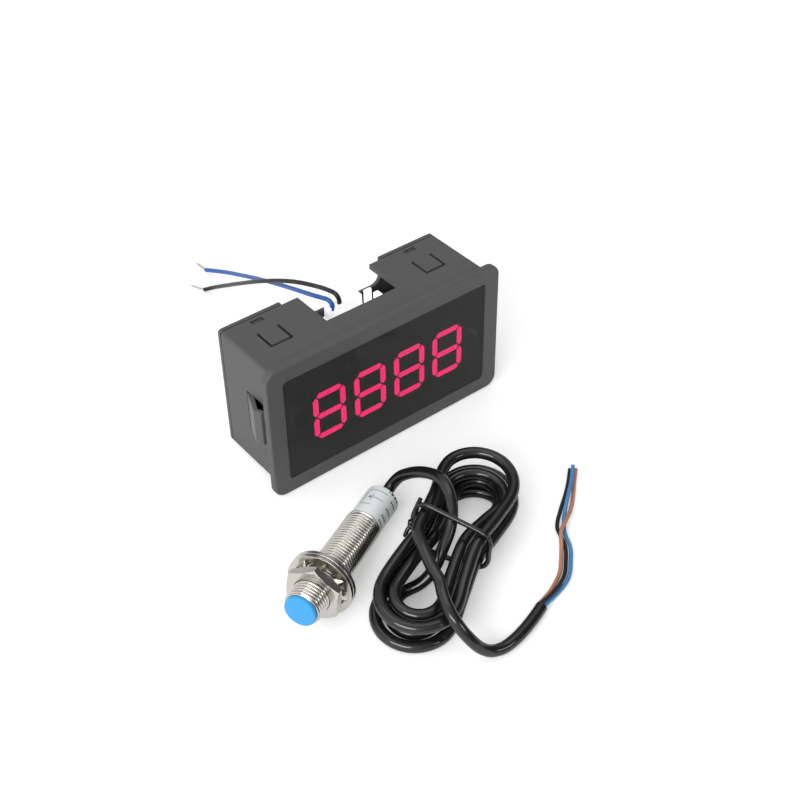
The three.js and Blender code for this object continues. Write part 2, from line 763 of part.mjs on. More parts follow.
function sensorBarrel() {
  const inset = barrelRadius - barrelChamfer;
  const seatStart = barrelLength - labelSeatLength;
  const profile = [
    [boreRadius, 0], [inset, 0], [barrelRadius, barrelChamfer], [barrelRadius, seatStart],
    [labelSeatRadius, seatStart], [labelSeatRadius, barrelLength], [boreRadius, barrelLength], [boreRadius, 0],
  ];
  return turned(profile);
}

piece('sensor_barrel', sensorBarrel(), nickelPlate, sensor);

function faceCap() {
  const outer = boreRadius - fitGap;
  const lip = barrelRadius - barrelChamfer - fitGap;
  const inner = outer - faceCapWall;
  const edge = faceCapProud / 4;
  const profile = [
    [0, -faceCapProud], [lip - edge, -faceCapProud], [lip, edge - faceCapProud], [lip, -fitGap], [outer, -fitGap],
    [outer, faceCapDepth], [inner, faceCapDepth], [inner, 0], [0, 0],
  ];
  return turned(profile);
}

piece('sensing_face_cap', faceCap(), capBlue, sensor);

const chipFront = seatGap;
piece('hall_chip', geometryOf(block([-hallChipSize / 2, chipFront, -hallChipSize / 2],
  [hallChipSize / 2, chipFront + hallChipThickness, hallChipSize / 2])), chipBlack, sensor);
const hallBoardFront = faceCapDepth + seatGap;
piece('hall_board', geometryOf(block([-hallBoardWidth / 2, hallBoardFront, -hallBoardThickness / 2],
  [hallBoardWidth / 2, hallBoardFront + hallBoardLength, hallBoardThickness / 2])
  .add(block([-hallChipSize / 2, chipFront + hallChipThickness + seatGap, -hallBoardThickness / 2],
    [hallChipSize / 2, hallBoardFront + hallBoardThickness, hallBoardThickness / 2]))), boardGreen, sensor);

const threadClearRadius = (barrelRadius + fitGap) / Math.cos(Math.PI / roundSides);

function lockNut() {
  const corner = nutFlats / 2 / Math.cos(Math.PI / 6);
  const hex = new THREE.CylinderGeometry(corner, corner, nutThickness, 6);
  hex.translate(0, nutY + nutThickness / 2, 0);
  const shoulder = nutFlats / 2;
  const bevelled = turned([
    [0, nutY], [shoulder, nutY], [corner, nutY + nutChamfer], [corner, nutBack - nutChamfer],
    [shoulder, nutBack], [0, nutBack],
  ]);
  const bore = new THREE.CylinderGeometry(threadClearRadius, threadClearRadius, nutThickness + 2 * cutOverrun,
    roundSides).translate(0, nutY + nutThickness / 2, 0);
  return geometryOf(solid(hex).intersect(solid(bevelled)).subtract(solid(bore)));
}

piece('lock_nut', lockNut(), nickelPlate, sensor);

const washerBoreRadius = threadClearRadius + washerClearance;

// Toothed washer: a flat outer ring with teeth that rise forward to the nut
function toothedWasher() {
  const outer = toothedWasherDiameter / 2;
  const ringInner = toothedWasherBore / 2;
  const ring = turned([
    [ringInner, toothedRimFront], [outer, toothedRimFront], [outer, toothedRimFront + toothedWasherThickness],
    [ringInner, toothedRimFront + toothedWasherThickness], [ringInner, toothedRimFront],
  ]);
  let washer = solid(ring);
  const rootRadius = ringInner + (outer - ringInner) / 3;
  const halfTooth = toothWidth / 2;
  const twist = toothedWasherThickness / 2;
  for (let tooth = 0; tooth < toothCount; tooth += 1) {
    const section = (radius, y, half, lean) => [
      [radius, y - lean, -half], [radius, y + lean, half],
      [radius, y + lean + toothedWasherThickness, half], [radius, y - lean + toothedWasherThickness, -half],
    ];
    const rings = [
      section(washerBoreRadius, toothedFront + twist, halfTooth * 0.8, twist),
      section(rootRadius, toothedRimFront, halfTooth, 0),
    ];
    const blade = solid(stackedRings(rings.map((points) => points.reverse())));
    washer = washer.add(blade.rotate([0, (360 * tooth) / toothCount, 0]));
  }
  return geometryOf(washer);
}

piece('toothed_washer', toothedWasher(), nickelPlate, sensor);

piece('plain_washer', turned([
  [washerBoreRadius, plainFront], [plainWasherDiameter / 2, plainFront], [plainWasherDiameter / 2, plainBack],
  [washerBoreRadius, plainBack], [washerBoreRadius, plainFront],
]), nickelPlate, sensor);

piece('label_sleeve', turned([
  [labelSeatRadius + fitGap, barrelLength - labelLength], [labelRadius, barrelLength - labelLength],
  [labelRadius, barrelLength], [labelSeatRadius + fitGap, barrelLength],
  [labelSeatRadius + fitGap, barrelLength - labelLength],
]), labelFilm, sensor);

const glandRadius = cableDiameter / 2 + seatGap;
piece('rear_plug', turned([
  [glandRadius, barrelLength - rearPlugDepth], [boreRadius - fitGap, barrelLength - rearPlugDepth],
  [boreRadius - fitGap, barrelLength], [glandRadius + rearPlugProud, barrelLength + rearPlugProud],
  [glandRadius, barrelLength + rearPlugProud], [glandRadius, barrelLength - rearPlugDepth],
]), cableJacket, sensor);

// Tubes: a round section carried along a curve
function tube(points, diameter, sides, step) {
  const curve = new THREE.CatmullRomCurve3(points.map((point) => new THREE.Vector3(...point)), false, 'centripetal');
  const section = new THREE.Shape();
  for (let side = 0; side < sides; side += 1) {
    const angle = (2 * Math.PI * side) / sides;
    const x = (diameter / 2) * Math.cos(angle);
    const y = (diameter / 2) * Math.sin(angle);
    if (side === 0) section.moveTo(x, y);
    else section.lineTo(x, y);
  }
  const steps = Math.ceil(curve.getLength() / step);
  return new THREE.ExtrudeGeometry(section, { steps, extrudePath: curve, bevelEnabled: false });
}

function lengthOf(points) {
  return new THREE.CatmullRomCurve3(points.map((point) => new THREE.Vector3(...point)), false, 'centripetal')
    .getLength();
}

// Power wires: up out of the plug, over the cover and down to the bench behind the meter
const wireRouteBlue = [
  [-6.05, 20.36, 37.15], [-6.05, 20.5, 39.2], [-6.5, 21.7, 40.1], [-6.7, 24, 39.3], [-7.3, 28, 37.96],
  [-7.11, 35, 34.81], [-5.49, 45.6, 28.87], [-3.13, 60, 20.41], [-0.95, 75, 11.34],
  [-0.53, 84.5, 6.09], [-1.08, 91, 2.75], [-1.6, 95.18, 0.66],
];
const wireRouteBlack = [
  [-3.55, 20.36, 37.15], [-3.55, 20.66, 39.56], [-3.95, 21.6, 40.93], [-4.23, 25.2, 40.24],
  [-4.36, 31, 37.83], [-5.27, 37.6, 35.17], [-6.24, 44.4, 31.68], [-7.25, 53.6, 25.96],
  [-6.87, 65.6, 17.08], [-6.01, 75.8, 9.11], [-5.95, 84, 2.76], [-7.39, 86.97, 0.66],
];

function wireTip(route) {
  const end = new THREE.Vector3(...route[route.length - 1]);
  const before = new THREE.Vector3(...route[route.length - 2]);
  const along = end.clone().sub(before).setZ(0).normalize();
  const tip = new THREE.CylinderGeometry(wireTipDiameter / 2, wireTipDiameter / 2, wireTipLength, 8);
  tip.applyQuaternion(new THREE.Quaternion().setFromUnitVectors(new THREE.Vector3(0, 1, 0), along));
  const middle = end.clone().addScaledVector(along, seatGap + wireTipLength / 2);
  return tip.translate(middle.x, middle.y, middle.z);
}

for (const [colourName, route, material] of [
  ['blue', wireRouteBlue, wireBlue], ['black', wireRouteBlack, wireBlack],
]) {
  piece(`power_wire_${colourName}`, tube(route, wireDiameter, 8, 2 * wireDiameter), material, bench);
  piece(`power_wire_tip_${colourName}`, wireTip(route), tinnedBrass, bench);
}

// Hank: one unbroken tube from the floor up. It spirals out and in at a steady rate and climbs
// a layer along a run each time the spiral turns back. Turn 0 is the left run at the waist.
const reversals = [1.5, 3, 4.5];
const hankFirstTurn = 1 / 12;
const hankLastTurn = 5;
const runShare = 1 / 12;
const arcShare = 4 / 12;
const lowFanShares = [-0.1, 0.15, -0.3, -0.1];
const highFanShares = [-0.3, 0.25, -0.15, 0.3];
const lowReachShares = [0.3, -0.3, 0.2, 0];
const highReachShares = [-0.3, 0.3, -0.4, 0.1];

function hankRadius(turn) {
  let radius = hankInnerRadius;
  let before = 0;
  let sign = 1;
  for (const reversal of reversals.concat([Infinity])) {
    const span = Math.min(turn, reversal) - before;
    if (span > 0) radius += sign * span * hankLoopStep;
    before = reversal;
    sign = -sign;
  }
  return radius;
}

function smooth(share) {
  const clipped = Math.min(Math.max(share, 0), 1);
  return clipped * clipped * (3 - 2 * clipped);
}

// How far the hank has climbed, in layers, at a turn count.
function hankLayer(turn) {
  return reversals.reduce((layer, reversal) => layer + smooth((turn - reversal + runShare) / (2 * runShare)), 0);
}

function layerValue(shares, layer) {
  const low = Math.min(Math.floor(layer), shares.length - 1);
  const high = Math.min(low + 1, shares.length - 1);
  return shares[low] + (shares[high] - shares[low]) * (layer - low);
}

function hankPoint(turn) {
  const phase = turn - Math.floor(turn);
  const radius = hankRadius(turn);
  const layer = hankLayer(turn);
  let along;
  let across;
  if (phase < runShare || phase >= 1 - runShare) {
    along = (-(phase < 0.5 ? phase : phase - 1) / runShare) * hankRunHalf;
    across = radius;
  } else if (phase < runShare + arcShare) {
    const angle = ((phase - runShare) / arcShare) * Math.PI;
    along = -hankRunHalf - radius * hankTurnStretch * Math.sin(angle);
    across = radius * Math.cos(angle);
  } else if (phase < 0.5 + runShare) {
    along = ((phase - 0.5) / runShare) * hankRunHalf;
    across = -radius;
  } else {
    const angle = ((phase - 0.5 - runShare) / arcShare) * Math.PI;
    along = hankRunHalf + radius * hankTurnStretch * Math.sin(angle);
    across = -radius * Math.cos(angle);
  }
  const waist = Math.cos((Math.min(Math.abs(along), hankRunHalf) / hankRunHalf) * (Math.PI / 2)) ** 2;
  const outer = smooth((Math.abs(along) - hankRunHalf / 3) / hankRunHalf);
  const fan = layerValue(along < 0 ? lowFanShares : highFanShares, layer);
  const reach = layerValue(along < 0 ? lowReachShares : highReachShares, layer);
  return [
    along + Math.sign(along) * outer * reach * hankLoopStep,
    across - Math.sign(across) * hankWaistDraw * waist + fan * outer * hankLoopStep,
    cableDiameter / 2 + hankLayerRise * layer + hankLift * waist,
  ];
}

const hankStepsPerTurn = 24;
const hankPoints = [];
const hankSteps = Math.floor((hankLastTurn - hankFirstTurn) * hankStepsPerTurn);
for (let step = 0; step <= hankSteps; step += 1) {
  hankPoints.push(hankPoint(hankFirstTurn + step / hankStepsPerTurn));
}
const [startAlong, startAcross, startHeight] = hankPoints[0];
const [endAlong, endAcross, endHeight] = hankPoints[hankPoints.length - 1];
hankPoints.unshift([startAlong + hankStartStraight, startAcross - hankWaistSlope * hankStartStraight, startHeight]);
hankPoints.push([endAlong - hankEndStraight, endAcross - hankWaistSlope * hankEndStraight, endHeight]);

// A tube through given points: rings stand square to the path and share one frame carried along it.
function sweep(points, diameter, sides) {
  const places = points.map((point) => new THREE.Vector3(...point));
  const tangents = places.map((place, index) => {
    const next = places[Math.min(index + 1, places.length - 1)];
    const before = places[Math.max(index - 1, 0)];
    return next.clone().sub(before).normalize();
  });
  let across = new THREE.Vector3(0, 0, 1).cross(tangents[0]).normalize();
  const rings = places.map((place, index) => {
    const tangent = tangents[index];
    across = across.addScaledVector(tangent, -across.dot(tangent)).normalize();
    const up = tangent.clone().cross(across);
    const ring = [];
    for (let side = 0; side < sides; side += 1) {
      const angle = (2 * Math.PI * side) / sides;
      const point = place.clone();
      point.addScaledVector(across, (diameter / 2) * Math.cos(angle));
      point.addScaledVector(up, (diameter / 2) * Math.sin(angle));
      ring.push(point.toArray());
    }
    return ring;
  });
  return stackedRings(rings);
}

// Least gap between stretches of a path that are more than skip steps apart.
function leastGap(points, diameter, skip) {
  const places = [];
  for (let index = 0; index + 1 < points.length; index += 1) {
    const from = new THREE.Vector3(...points[index]);
    const to = new THREE.Vector3(...points[index + 1]);
    for (const share of [0, 0.25, 0.5, 0.75]) places.push(from.clone().lerp(to, share));
  }
  let least = Infinity;
  for (let first = 0; first < places.length; first += 1) {
    for (let second = first + 4 * skip; second < places.length; second += 1) {
      least = Math.min(least, places[first].distanceTo(places[second]));
    }
  }
  return least - diameter;
}

const hankGap = leastGap(hankPoints, cableDiameter, hankStepsPerTurn / 3);
console.log(`least gap of the hank to itself: ${hankGap.toFixed(2)} mm`);

const hank = new THREE.Group();
hank.rotation.z = THREE.MathUtils.degToRad(hankBearing);
hank.position.set(hankX, hankY, 0);
bench.add(hank);
piece('sensor_cable_hank', sweep(hankPoints, cableDiameter, 6), cableJacket, hank);

// Free stretches of the sensor cable
const leadRoute = [
  [-21.68, -21.34, 5.06], [-19, -20, 4.68], [-16.8, -18.9, 4.85], [-14.6, -18.5, 6.4],
  [-12.7, -19.3, 9], [-11.5, -21.4, 11.4], [-10.7, -24.1, 13.8], [-10.1, -27.3, 15.9],
  [-9.8, -30.5, 17.4], [-10, -33.5, 18.1], [-10.8, -36.5, 17.9], [-11.9, -39.1, 17.1],
  [-13.8, -41.9, 15.4], [-16.1, -44, 12.9], [-19.88, -45.93, 9.8], [-22.64, -47.1, 7],
  [-25.29, -47.56, 4.8], [-28.01, -47.17, 3], [-30.53, -46.24, 1.9], [-32.27, -45.95, 1.6],
  [-34.1, -46.28, 1.6],
];
const tailRoute = [
  [-22.39, -39.32, 15.14], [-24.06, -40.71, 15.1], [-25.24, -42.69, 15], [-26.26, -45.47, 14.9],
  [-27.48, -49.02, 14.6], [-28.52, -52.48, 14.3], [-29.13, -55.58, 14], [-31.05, -59.25, 13.7],
  [-32.33, -62.54, 13.2], [-32.84, -65.51, 12.2], [-32.29, -68.2, 10], [-30.94, -70.46, 7.2],
  [-29.04, -72.1, 4.4], [-26.42, -73.24, 2.3], [-23.25, -73.95, 1.6], [-19.83, -73.9, 1.6],
  [-15.4, -73.07, 1.6], [-10.79, -71.74, 1.6], [-6.96, -70.37, 1.6],
];
piece('sensor_cable_lead', tube(leadRoute, cableDiameter, 8, 2 * cableDiameter), cableJacket, bench);
piece('sensor_cable_tail', tube(tailRoute, cableDiameter, 8, 2 * cableDiameter), cableJacket, bench);

// Cores: brown crosses over the other two
const coreRoutes = {
  brown: [
    [-6.9, -69.24, 1.25], [-1.85, -67.93, 1], [2.03, -66.22, 0.7], [5, -64.59, 0.6],
    [7.61, -62.3, 0.6], [10.05, -59.84, 0.6], [11.19, -58.59, 1.3], [12.13, -57.3, 2.1],
    [13.34, -55.99, 2.3], [14.79, -54.86, 2.3], [16.92, -53.75, 2.15], [20.24, -51.94, 1.45],
    [23.4, -49.81, 0.7], [26.4, -47.3, 0.6], [29.22, -44.69, 0.6], [31.84, -42.33, 0.6],
    [33.95, -40.51, 0.6],
  ],
  blue: [
    [-6.46, -70.46, 1.25], [-0.1, -69.18, 0.65], [3.95, -68.04, 0.6], [6.89, -66.41, 0.6],
    [9.68, -63.84, 0.6], [12.12, -61.37, 0.6], [13.53, -59.39, 0.6], [14.5, -57.27, 0.6],
    [15.54, -55.39, 0.6], [16.98, -53.56, 0.6], [18.75, -51.73, 0.6], [20.31, -50.38, 0.8],
    [21.77, -49.15, 1.4], [24.11, -47.39, 2], [27.19, -45.12, 2.1], [30.38, -42.51, 1.9],
    [33.27, -39.83, 1.9],
  ],
  black: [
    [-6.68, -69.86, 2.35], [-1.65, -69, 1.95], [2.39, -67.59, 1.4], [5.68, -65.76, 0.85],
    [8.64, -63.07, 0.6], [11.05, -60.58, 0.6], [12.48, -58.61, 0.6], [13.45, -56.49, 0.6],
    [14.1, -54.77, 0.6], [14.97, -53.06, 0.6], [16.87, -51.24, 0.6], [19.05, -49.69, 0.6],
    [21.28, -48.14, 0.6], [24.26, -46.18, 0.6], [27.47, -43.87, 0.6], [30.37, -41.49, 0.6],
    [32.6, -39.52, 0.6],
  ],
};
for (const [colourName, material] of [['brown', wireBrown], ['blue', wireBlue], ['black', wireBlack]]) {
  piece(`core_${colourName}`, tube(coreRoutes[colourName], coreDiameter, 8, 3 * coreDiameter), material, bench);
}

// Tie: one turn round the waist of the hank, closed by a knot with two loose ends
const tieTurn = [
  [0.8, 9.6, 9.2], [0.8, 9.45, 11.5], [0.8, 9.45, 14.8], [0.8, 8.8, 16.8], [0.8, 6.8, 17.85], [0.8, 3.0, 17.5],
  [0.8, -3.0, 16.75], [0.8, -8.0, 16.1], [0.8, -10.3, 15.3], [0.8, -11.35, 13.3], [0.8, -11.4, 9.5],
  [0.8, -11.35, 5.8], [0.8, -10.2, 3.4], [0.8, -7.6, 1.9], [0.8, -4.8, 1.05], [0.8, 0.0, 1.05], [0.8, 6.2, 1.05],
  [0.8, 8.4, 1.75], [0.8, 9.45, 3.9], [0.8, 9.5, 7.6],
];
const tieKnot = [0.8, 10.1, 8.4];
const tieEndHigh = [[0.8, 10.2, 8.6], [2.6, 11.0, 9.8], [4.8, 11.0, 11.4], [6.8, 10.9, 12.6]];
const tieEndLow = [[0.8, 10.2, 8.2], [-0.2, 11.0, 7.2], [-1.6, 11.2, 5.4]];

function cableTie() {
  const knot = new THREE.SphereGeometry(tieKnotRadius, 10, 8).translate(...tieKnot);
  const strands = [tieTurn, tieEndHigh, tieEndLow].map((route) => solid(sweep(route, tieDiameter, 8)));
  return geometryOf(join(strands.concat([solid(knot)])));
}

piece('cable_tie', cableTie(), cableJacket, hank);

// The object's own origin is the middle of the underside of everything but the cable.
const cordNames = /^(sensor_cable|core_|power_wire|cable_tie)/;
tachometer.updateMatrixWorld(true);
const rigidBox = new THREE.Box3();
tachometer.traverse((node) => {
  if (node.isMesh && !cordNames.test(node.name)) rigidBox.expandByObject(node, true);
});
const rigidMiddle = rigidBox.getCenter(new THREE.Vector3());
bench.position.set(-rigidMiddle.x, -rigidMiddle.y, -rigidBox.min.z);
console.log(`bench shift: ${bench.position.toArray().map((value) => value.toFixed(3)).join(', ')}`);
console.log(`free stretches: lead ${lengthOf(leadRoute).toFixed(1)}, tail ${lengthOf(tailRoute).toFixed(1)}`);

export default tachometer;
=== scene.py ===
"""Looks for a digital panel tachometer with its power lead, threaded pickup sensor and tied cable."""

import math

import bmesh
import bpy
from mathutils import Matrix, Vector


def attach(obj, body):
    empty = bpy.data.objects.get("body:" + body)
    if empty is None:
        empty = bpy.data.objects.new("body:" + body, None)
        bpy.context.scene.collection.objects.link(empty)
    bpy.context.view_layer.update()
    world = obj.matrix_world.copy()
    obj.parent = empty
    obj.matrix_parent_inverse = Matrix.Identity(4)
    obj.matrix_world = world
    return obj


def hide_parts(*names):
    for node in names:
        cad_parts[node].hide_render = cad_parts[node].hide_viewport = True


bl_info = {
    "name": "Digital tachometer looks",
    "version": (1, 0, 0),
    "blender": (4, 5, 0),
    "location": "3D View > Sidebar > Tachometer",
    "description": "Dresses a packed panel tachometer, its sensor and its cables",
    "category": "Object",
}

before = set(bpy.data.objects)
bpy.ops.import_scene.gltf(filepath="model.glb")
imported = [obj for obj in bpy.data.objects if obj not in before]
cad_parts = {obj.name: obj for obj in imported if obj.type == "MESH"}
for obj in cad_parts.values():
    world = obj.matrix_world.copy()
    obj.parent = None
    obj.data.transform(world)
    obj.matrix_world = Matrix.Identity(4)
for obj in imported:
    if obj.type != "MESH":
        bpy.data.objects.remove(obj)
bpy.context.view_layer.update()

MM = 0.001
METER_BODY = "meter_and_sensor"
PLUG_BODY = "power_lead"
CASE_SLOT = "housing_plastic"
FULL_TURN = 2 * math.pi
UP = Vector((0, 0, 1))

# Where the bench drawing lies in the object's frame
BENCH_SHIFT = Vector((11.569, 7.325, 0.0)) * MM

# The meter's drawing, in millimetres. It leans back on its bezel's and its cover's lower edges.
BEZEL_HALF_HEIGHT = 21.5
BEZEL_THICKNESS = 2.2
BODY_HALF_HEIGHT = 19.5
COVER_REAR = 26.8
METER_LEAN = math.atan((BEZEL_HALF_HEIGHT - BODY_HALF_HEIGHT) / (COVER_REAR - BEZEL_THICKNESS))
TONGUE_PLACE = 26.2
# The skin over a tongue's root: half its width, its front and back, its inner and outer face
ROOT_HALF_WIDTH = 2.8
ROOT_FRONT, ROOT_BACK = 18.0, 18.95
ROOT_INNER, ROOT_OUTER = 19.3, 19.52
ROOT_SLOPE = 0.06

# The sensor's place on the bench, and its own drawing in millimetres from its face along its axis
SENSOR_REAR = (-19.0, -20.0)
SENSOR_BEARING = math.radians(26.5)
SENSOR_LENGTH = 46.0
SENSOR_LABEL_RADIUS = 4.72
SENSOR_SEAT_RADIUS = 4.35
SENSOR_SEAT_LENGTH = 11.8
SENSOR_SIDES = 96
# The radius of the washer that props the sensor, and how far its back lies from the face
SENSOR_PROP = (9.0, 11.8)
BARREL_RADIUS = 5.0
BARREL_BORE = 3.9
FACE_EDGE = 0.25
BORE_EDGE = 0.15
SEAT_EDGE = 0.1
THREAD_START = 0.55
# Between thread and seat the barrel ends in a plain band with a soft outer edge
BAND_LENGTH = 0.6
BAND_PROFILE = [(0.05, 0.4), (0.0, 0.32), (0.0, 0.1), (0.08, 0.01)]
# One turn of the thread: shares of the pitch, and how far each point lies under the crest
CREST_EDGE = 0.04
ROOT_END_SHARE, CREST_START_SHARE, CREST_SHARE, CREST_END_SHARE = 0.2, 0.42, 0.56, 0.62
CAP_PROFILE = [
    (0, -1.2), (3.6, -1.2), (4.0, -1.14), (4.24, -0.98), (4.36, -0.7), (4.38, -0.12), (3.78, -0.12),
    (3.78, 5.0), (2.88, 5.0), (2.88, 0.0), (0, 0.0),
]
GLAND_PROFILE = [
    (1.9, 42.0), (3.78, 42.0), (3.78, 46.0), (3.4, 46.28), (2.5, 46.5), (2.1, 46.5), (1.9, 46.3),
]

# The printed film on the barrel's seat, in millimetres, and the grid that its print is drawn on
LABEL_LENGTH = 11.5
LABEL_GAP = 0.12
LABEL_EDGE_DROP = 0.12
LABEL_EDGE_LENGTH = 0.25
LABEL_COLUMNS, LABEL_ROWS = 240, 84
BARE, DARK, GREY = 0, 1, 2

# The label's print: angles round it in degrees, places along it in millimetres from its front edge
DASH_ROWS = ((0.7, 1.3), (2.6, 3.3), (5.3, 6.0), (8.4, 9.1))
DASHES_FROM, DASHES_TO = 6, 40
DASH_PITCH, DASH_WIDTH = 8.5, 6.4
RING_PLACE = 10.5
RING_FROM, RING_TO = 340, 62
RING_PITCH, RING_DASH = 15, 8
SKETCH_FROM, SKETCH_TO = 61, 128
SKETCH_LOW, SKETCH_MIDDLE, SKETCH_HIGH = 3.4, 6.4, 9.4
SKETCH_SIDE = 126.5
SKETCH_CORNER = 92
SKETCH_SPLIT = 6
SKETCH_BAR, SKETCH_BAR_REACH = 100, 1.2
LINE_HALF_LENGTH, LINE_HALF_ANGLE = 0.14, 1.5
DOT_ANGLE, DOT_HALF_ANGLE = 108, 4
DOT_HALF_LENGTH = math.sqrt(0.2)

# The hank's place on the bench, in millimetres
HANK_PLACE = (-16.5, -43.7)
HANK_BEARING = math.radians(24.9)

# The camera on the bench, fitted to the photograph. Focal length and picture width are in pixels.
CAMERA_PLACE = (-172.867, -205.329, 274.740)
CAMERA_FORWARD = (0.46720802, 0.55948618, -0.68461076)
CAMERA_ROLL = math.radians(2.5348528943700863)
FOCAL_PIXELS, PICTURE_PIXELS = 1344.0, 800.0
FILM_WIDTH = 36.0
PICTURE_SHIFT = (0.0126, -0.024)
NEAREST_SEEN = 0.01

# Faces that meet at less than these degrees look smooth
LATHE_SMOOTH = 32.0
TUBE_SMOOTH = 40.0
COPY_SMOOTH = 89.0

# Rounding of copied solids: what counts as one point, as flat and as an edge, and the rounded radii
COPY_MERGE = 1e-6
COPY_FLAT = math.radians(0.6)
COPY_EDGE = math.radians(28.0)
EDGE_SEGMENTS = 2
FLAT_FACE_WEIGHT = 100
CLIP_EDGE_SHARE = 0.5
TONGUE_EDGE_SHARE = 0.6
LENS_EDGE_SHARE = 0.5
HEADER_EDGE_SHARE = 0.5
PLUG_EDGE_SHARE = 0.27
NUT_EDGE = 0.12 * MM
TOOTHED_WASHER_EDGE = 0.1 * MM
PLAIN_WASHER_EDGE = 0.14 * MM

# Points of turned pieces, and of the whole barrel, closer than this are welded, in metres
LATHE_MERGE = 1e-7
BARREL_MERGE = 2e-6

# Finishes: heights that bumps stand for, in metres
GRAIN_HEIGHT = 0.00003
SCRATCH_HEIGHT = 0.00002
LENS_MARK_HEIGHT = 0.00001
COPPER_HEIGHT = 0.00004
# How much of the tone follows the slow drift and the fine grain
DRIFT_SHARE, GRAIN_SHARE = 0.6, 0.4
# How much paler the clips' painted sheen and the copper under solder mask are, and how bright the figures
# shine
CLIP_SHEEN = 1.5
COPPER_TINT = (2.2, 1.8, 1.8)
FIGURE_STRENGTH = 56.0
# Tints of the finishes that the panel doesn't offer
COPPER = (0.72, 0.36, 0.2)
TINNED_WIRE = (0.66, 0.63, 0.58)
TINNED_PIN = (0.7, 0.68, 0.62)
DRAWN_CAN = (0.7, 0.71, 0.73)
EPOXY = (0.012, 0.012, 0.013)
DARK_INK = (0.05, 0.06, 0.08)
GREY_INK = (0.25, 0.3, 0.34)

# Tubes: the spacing of points along a route, and how an end is rounded off or cut open
ROUTE_STEP = 0.8 * MM
NEARLY_UPRIGHT = 1e-4
ROUND_END_SHARES = (0.35, 0.8)
ROUND_DEPTH_SHARE = 0.4
RECESS_RIM_SHARE, RECESS_FLOOR_SHARE = 0.78, 0.74
CABLE_SIDES, WIRE_SIDES, THIN_SIDES, STRAND_SIDES = 16, 12, 10, 7

# The sensor cable's gland and bared end
JACKET_RECESS = 0.8 * MM
CORE_INSERT = 0.9 * MM
CORE_RECESS = 0.4 * MM
CORE_STRANDS_SHARE = 0.55
STRANDS_INSIDE, STRANDS_OUTSIDE = 0.5 * MM, 0.12 * MM

# The twist tie's knot, on the hank
TIE_STRAND_SHARE = 0.86
TIE_STEP, KNOT_STEP, LOOSE_STEP = 0.6 * MM, 0.4 * MM, 0.5 * MM
KNOT_LENGTH = 2.4 * MM
KNOT_RADIUS = 0.62 * MM
KNOT_SHIFT = 0.25 * MM
KNOT_TURNS = 1.1
KNOT_POINTS = 15

# The tinned ends of the power wires: six strands wound round one
STRAND_COUNT = 6
STRAND_DIAMETER = 0.27 * MM
STRAND_POINTS = 13
STRAND_TURNS = 1.2
STRAND_TAPER = 0.35
TIP_INSIDE, TIP_LENGTH = 0.2, 4.9

# The lamps: where each stands from the meter's middle, its two sides and its power
LAMPS = (
    ("key_lamp", (-0.75, -0.35, 0.55), (0.7, 0.3), 5.2),
    ("top_lamp", (0.1, 0.25, 1.0), (1.0, 0.45), 1.3),
    ("front_lamp", (0.35, -0.9, 0.5), (0.4, 0.2), 1.2),
)
METER_MIDDLE = (0, 0, 15)

# The floor lies just under the object and fades into the white of the room
FLOOR_HALF = 3.0
FLOOR_DROP = 0.0002
FLOOR_GREY = 0.86
FADE_FROM, FADE_TO = (0.15, 0.8), (0.3, 0.75)

# A dark curtain low on the right and a pale wall on the left give plated pieces their contrast: where
# each stands, the cosines between which it sets in, and the brightness outside and inside it
CURTAIN = ((0.82, -0.56, 0.1), (0.35, 0.8), (0.6, 0.1))
PALE_WALL = ((-0.9, 0.1, 0.42), (0.2, 0.9), (0.0, 0.5))
MIRROR_SHADE = 0.15


class TachometerSizes(bpy.types.PropertyGroup):
    """Sizes of the details that the looks add."""

    cable_diameter: bpy.props.FloatProperty(
        name="Cable diameter", description="Jacket of the sensor cable",
        default=0.0032, unit="LENGTH", subtype="DISTANCE")
    wire_diameter: bpy.props.FloatProperty(
        name="Power wire diameter", description="Insulation of the two power wires",
        default=0.0013, unit="LENGTH", subtype="DISTANCE")
    core_diameter: bpy.props.FloatProperty(
        name="Core diameter", description="Insulation of the three cable cores",
        default=0.0011, unit="LENGTH", subtype="DISTANCE")
    tie_diameter: bpy.props.FloatProperty(
        name="Tie diameter", description="Coating of the twist tie",
        default=0.0014, unit="LENGTH", subtype="DISTANCE")
    edge_radius: bpy.props.FloatProperty(
        name="Moulded edge radius", description="Rounding of moulded edges",
        default=0.00022, unit="LENGTH", subtype="DISTANCE")
    thread_pitch: bpy.props.FloatProperty(
        name="Thread pitch", description="Distance from crest to crest on the barrel",
        default=0.001, unit="LENGTH", subtype="DISTANCE")
    thread_depth: bpy.props.FloatProperty(
        name="Thread depth", description="Height of a crest over its root",
        default=0.00028, unit="LENGTH", subtype="DISTANCE")


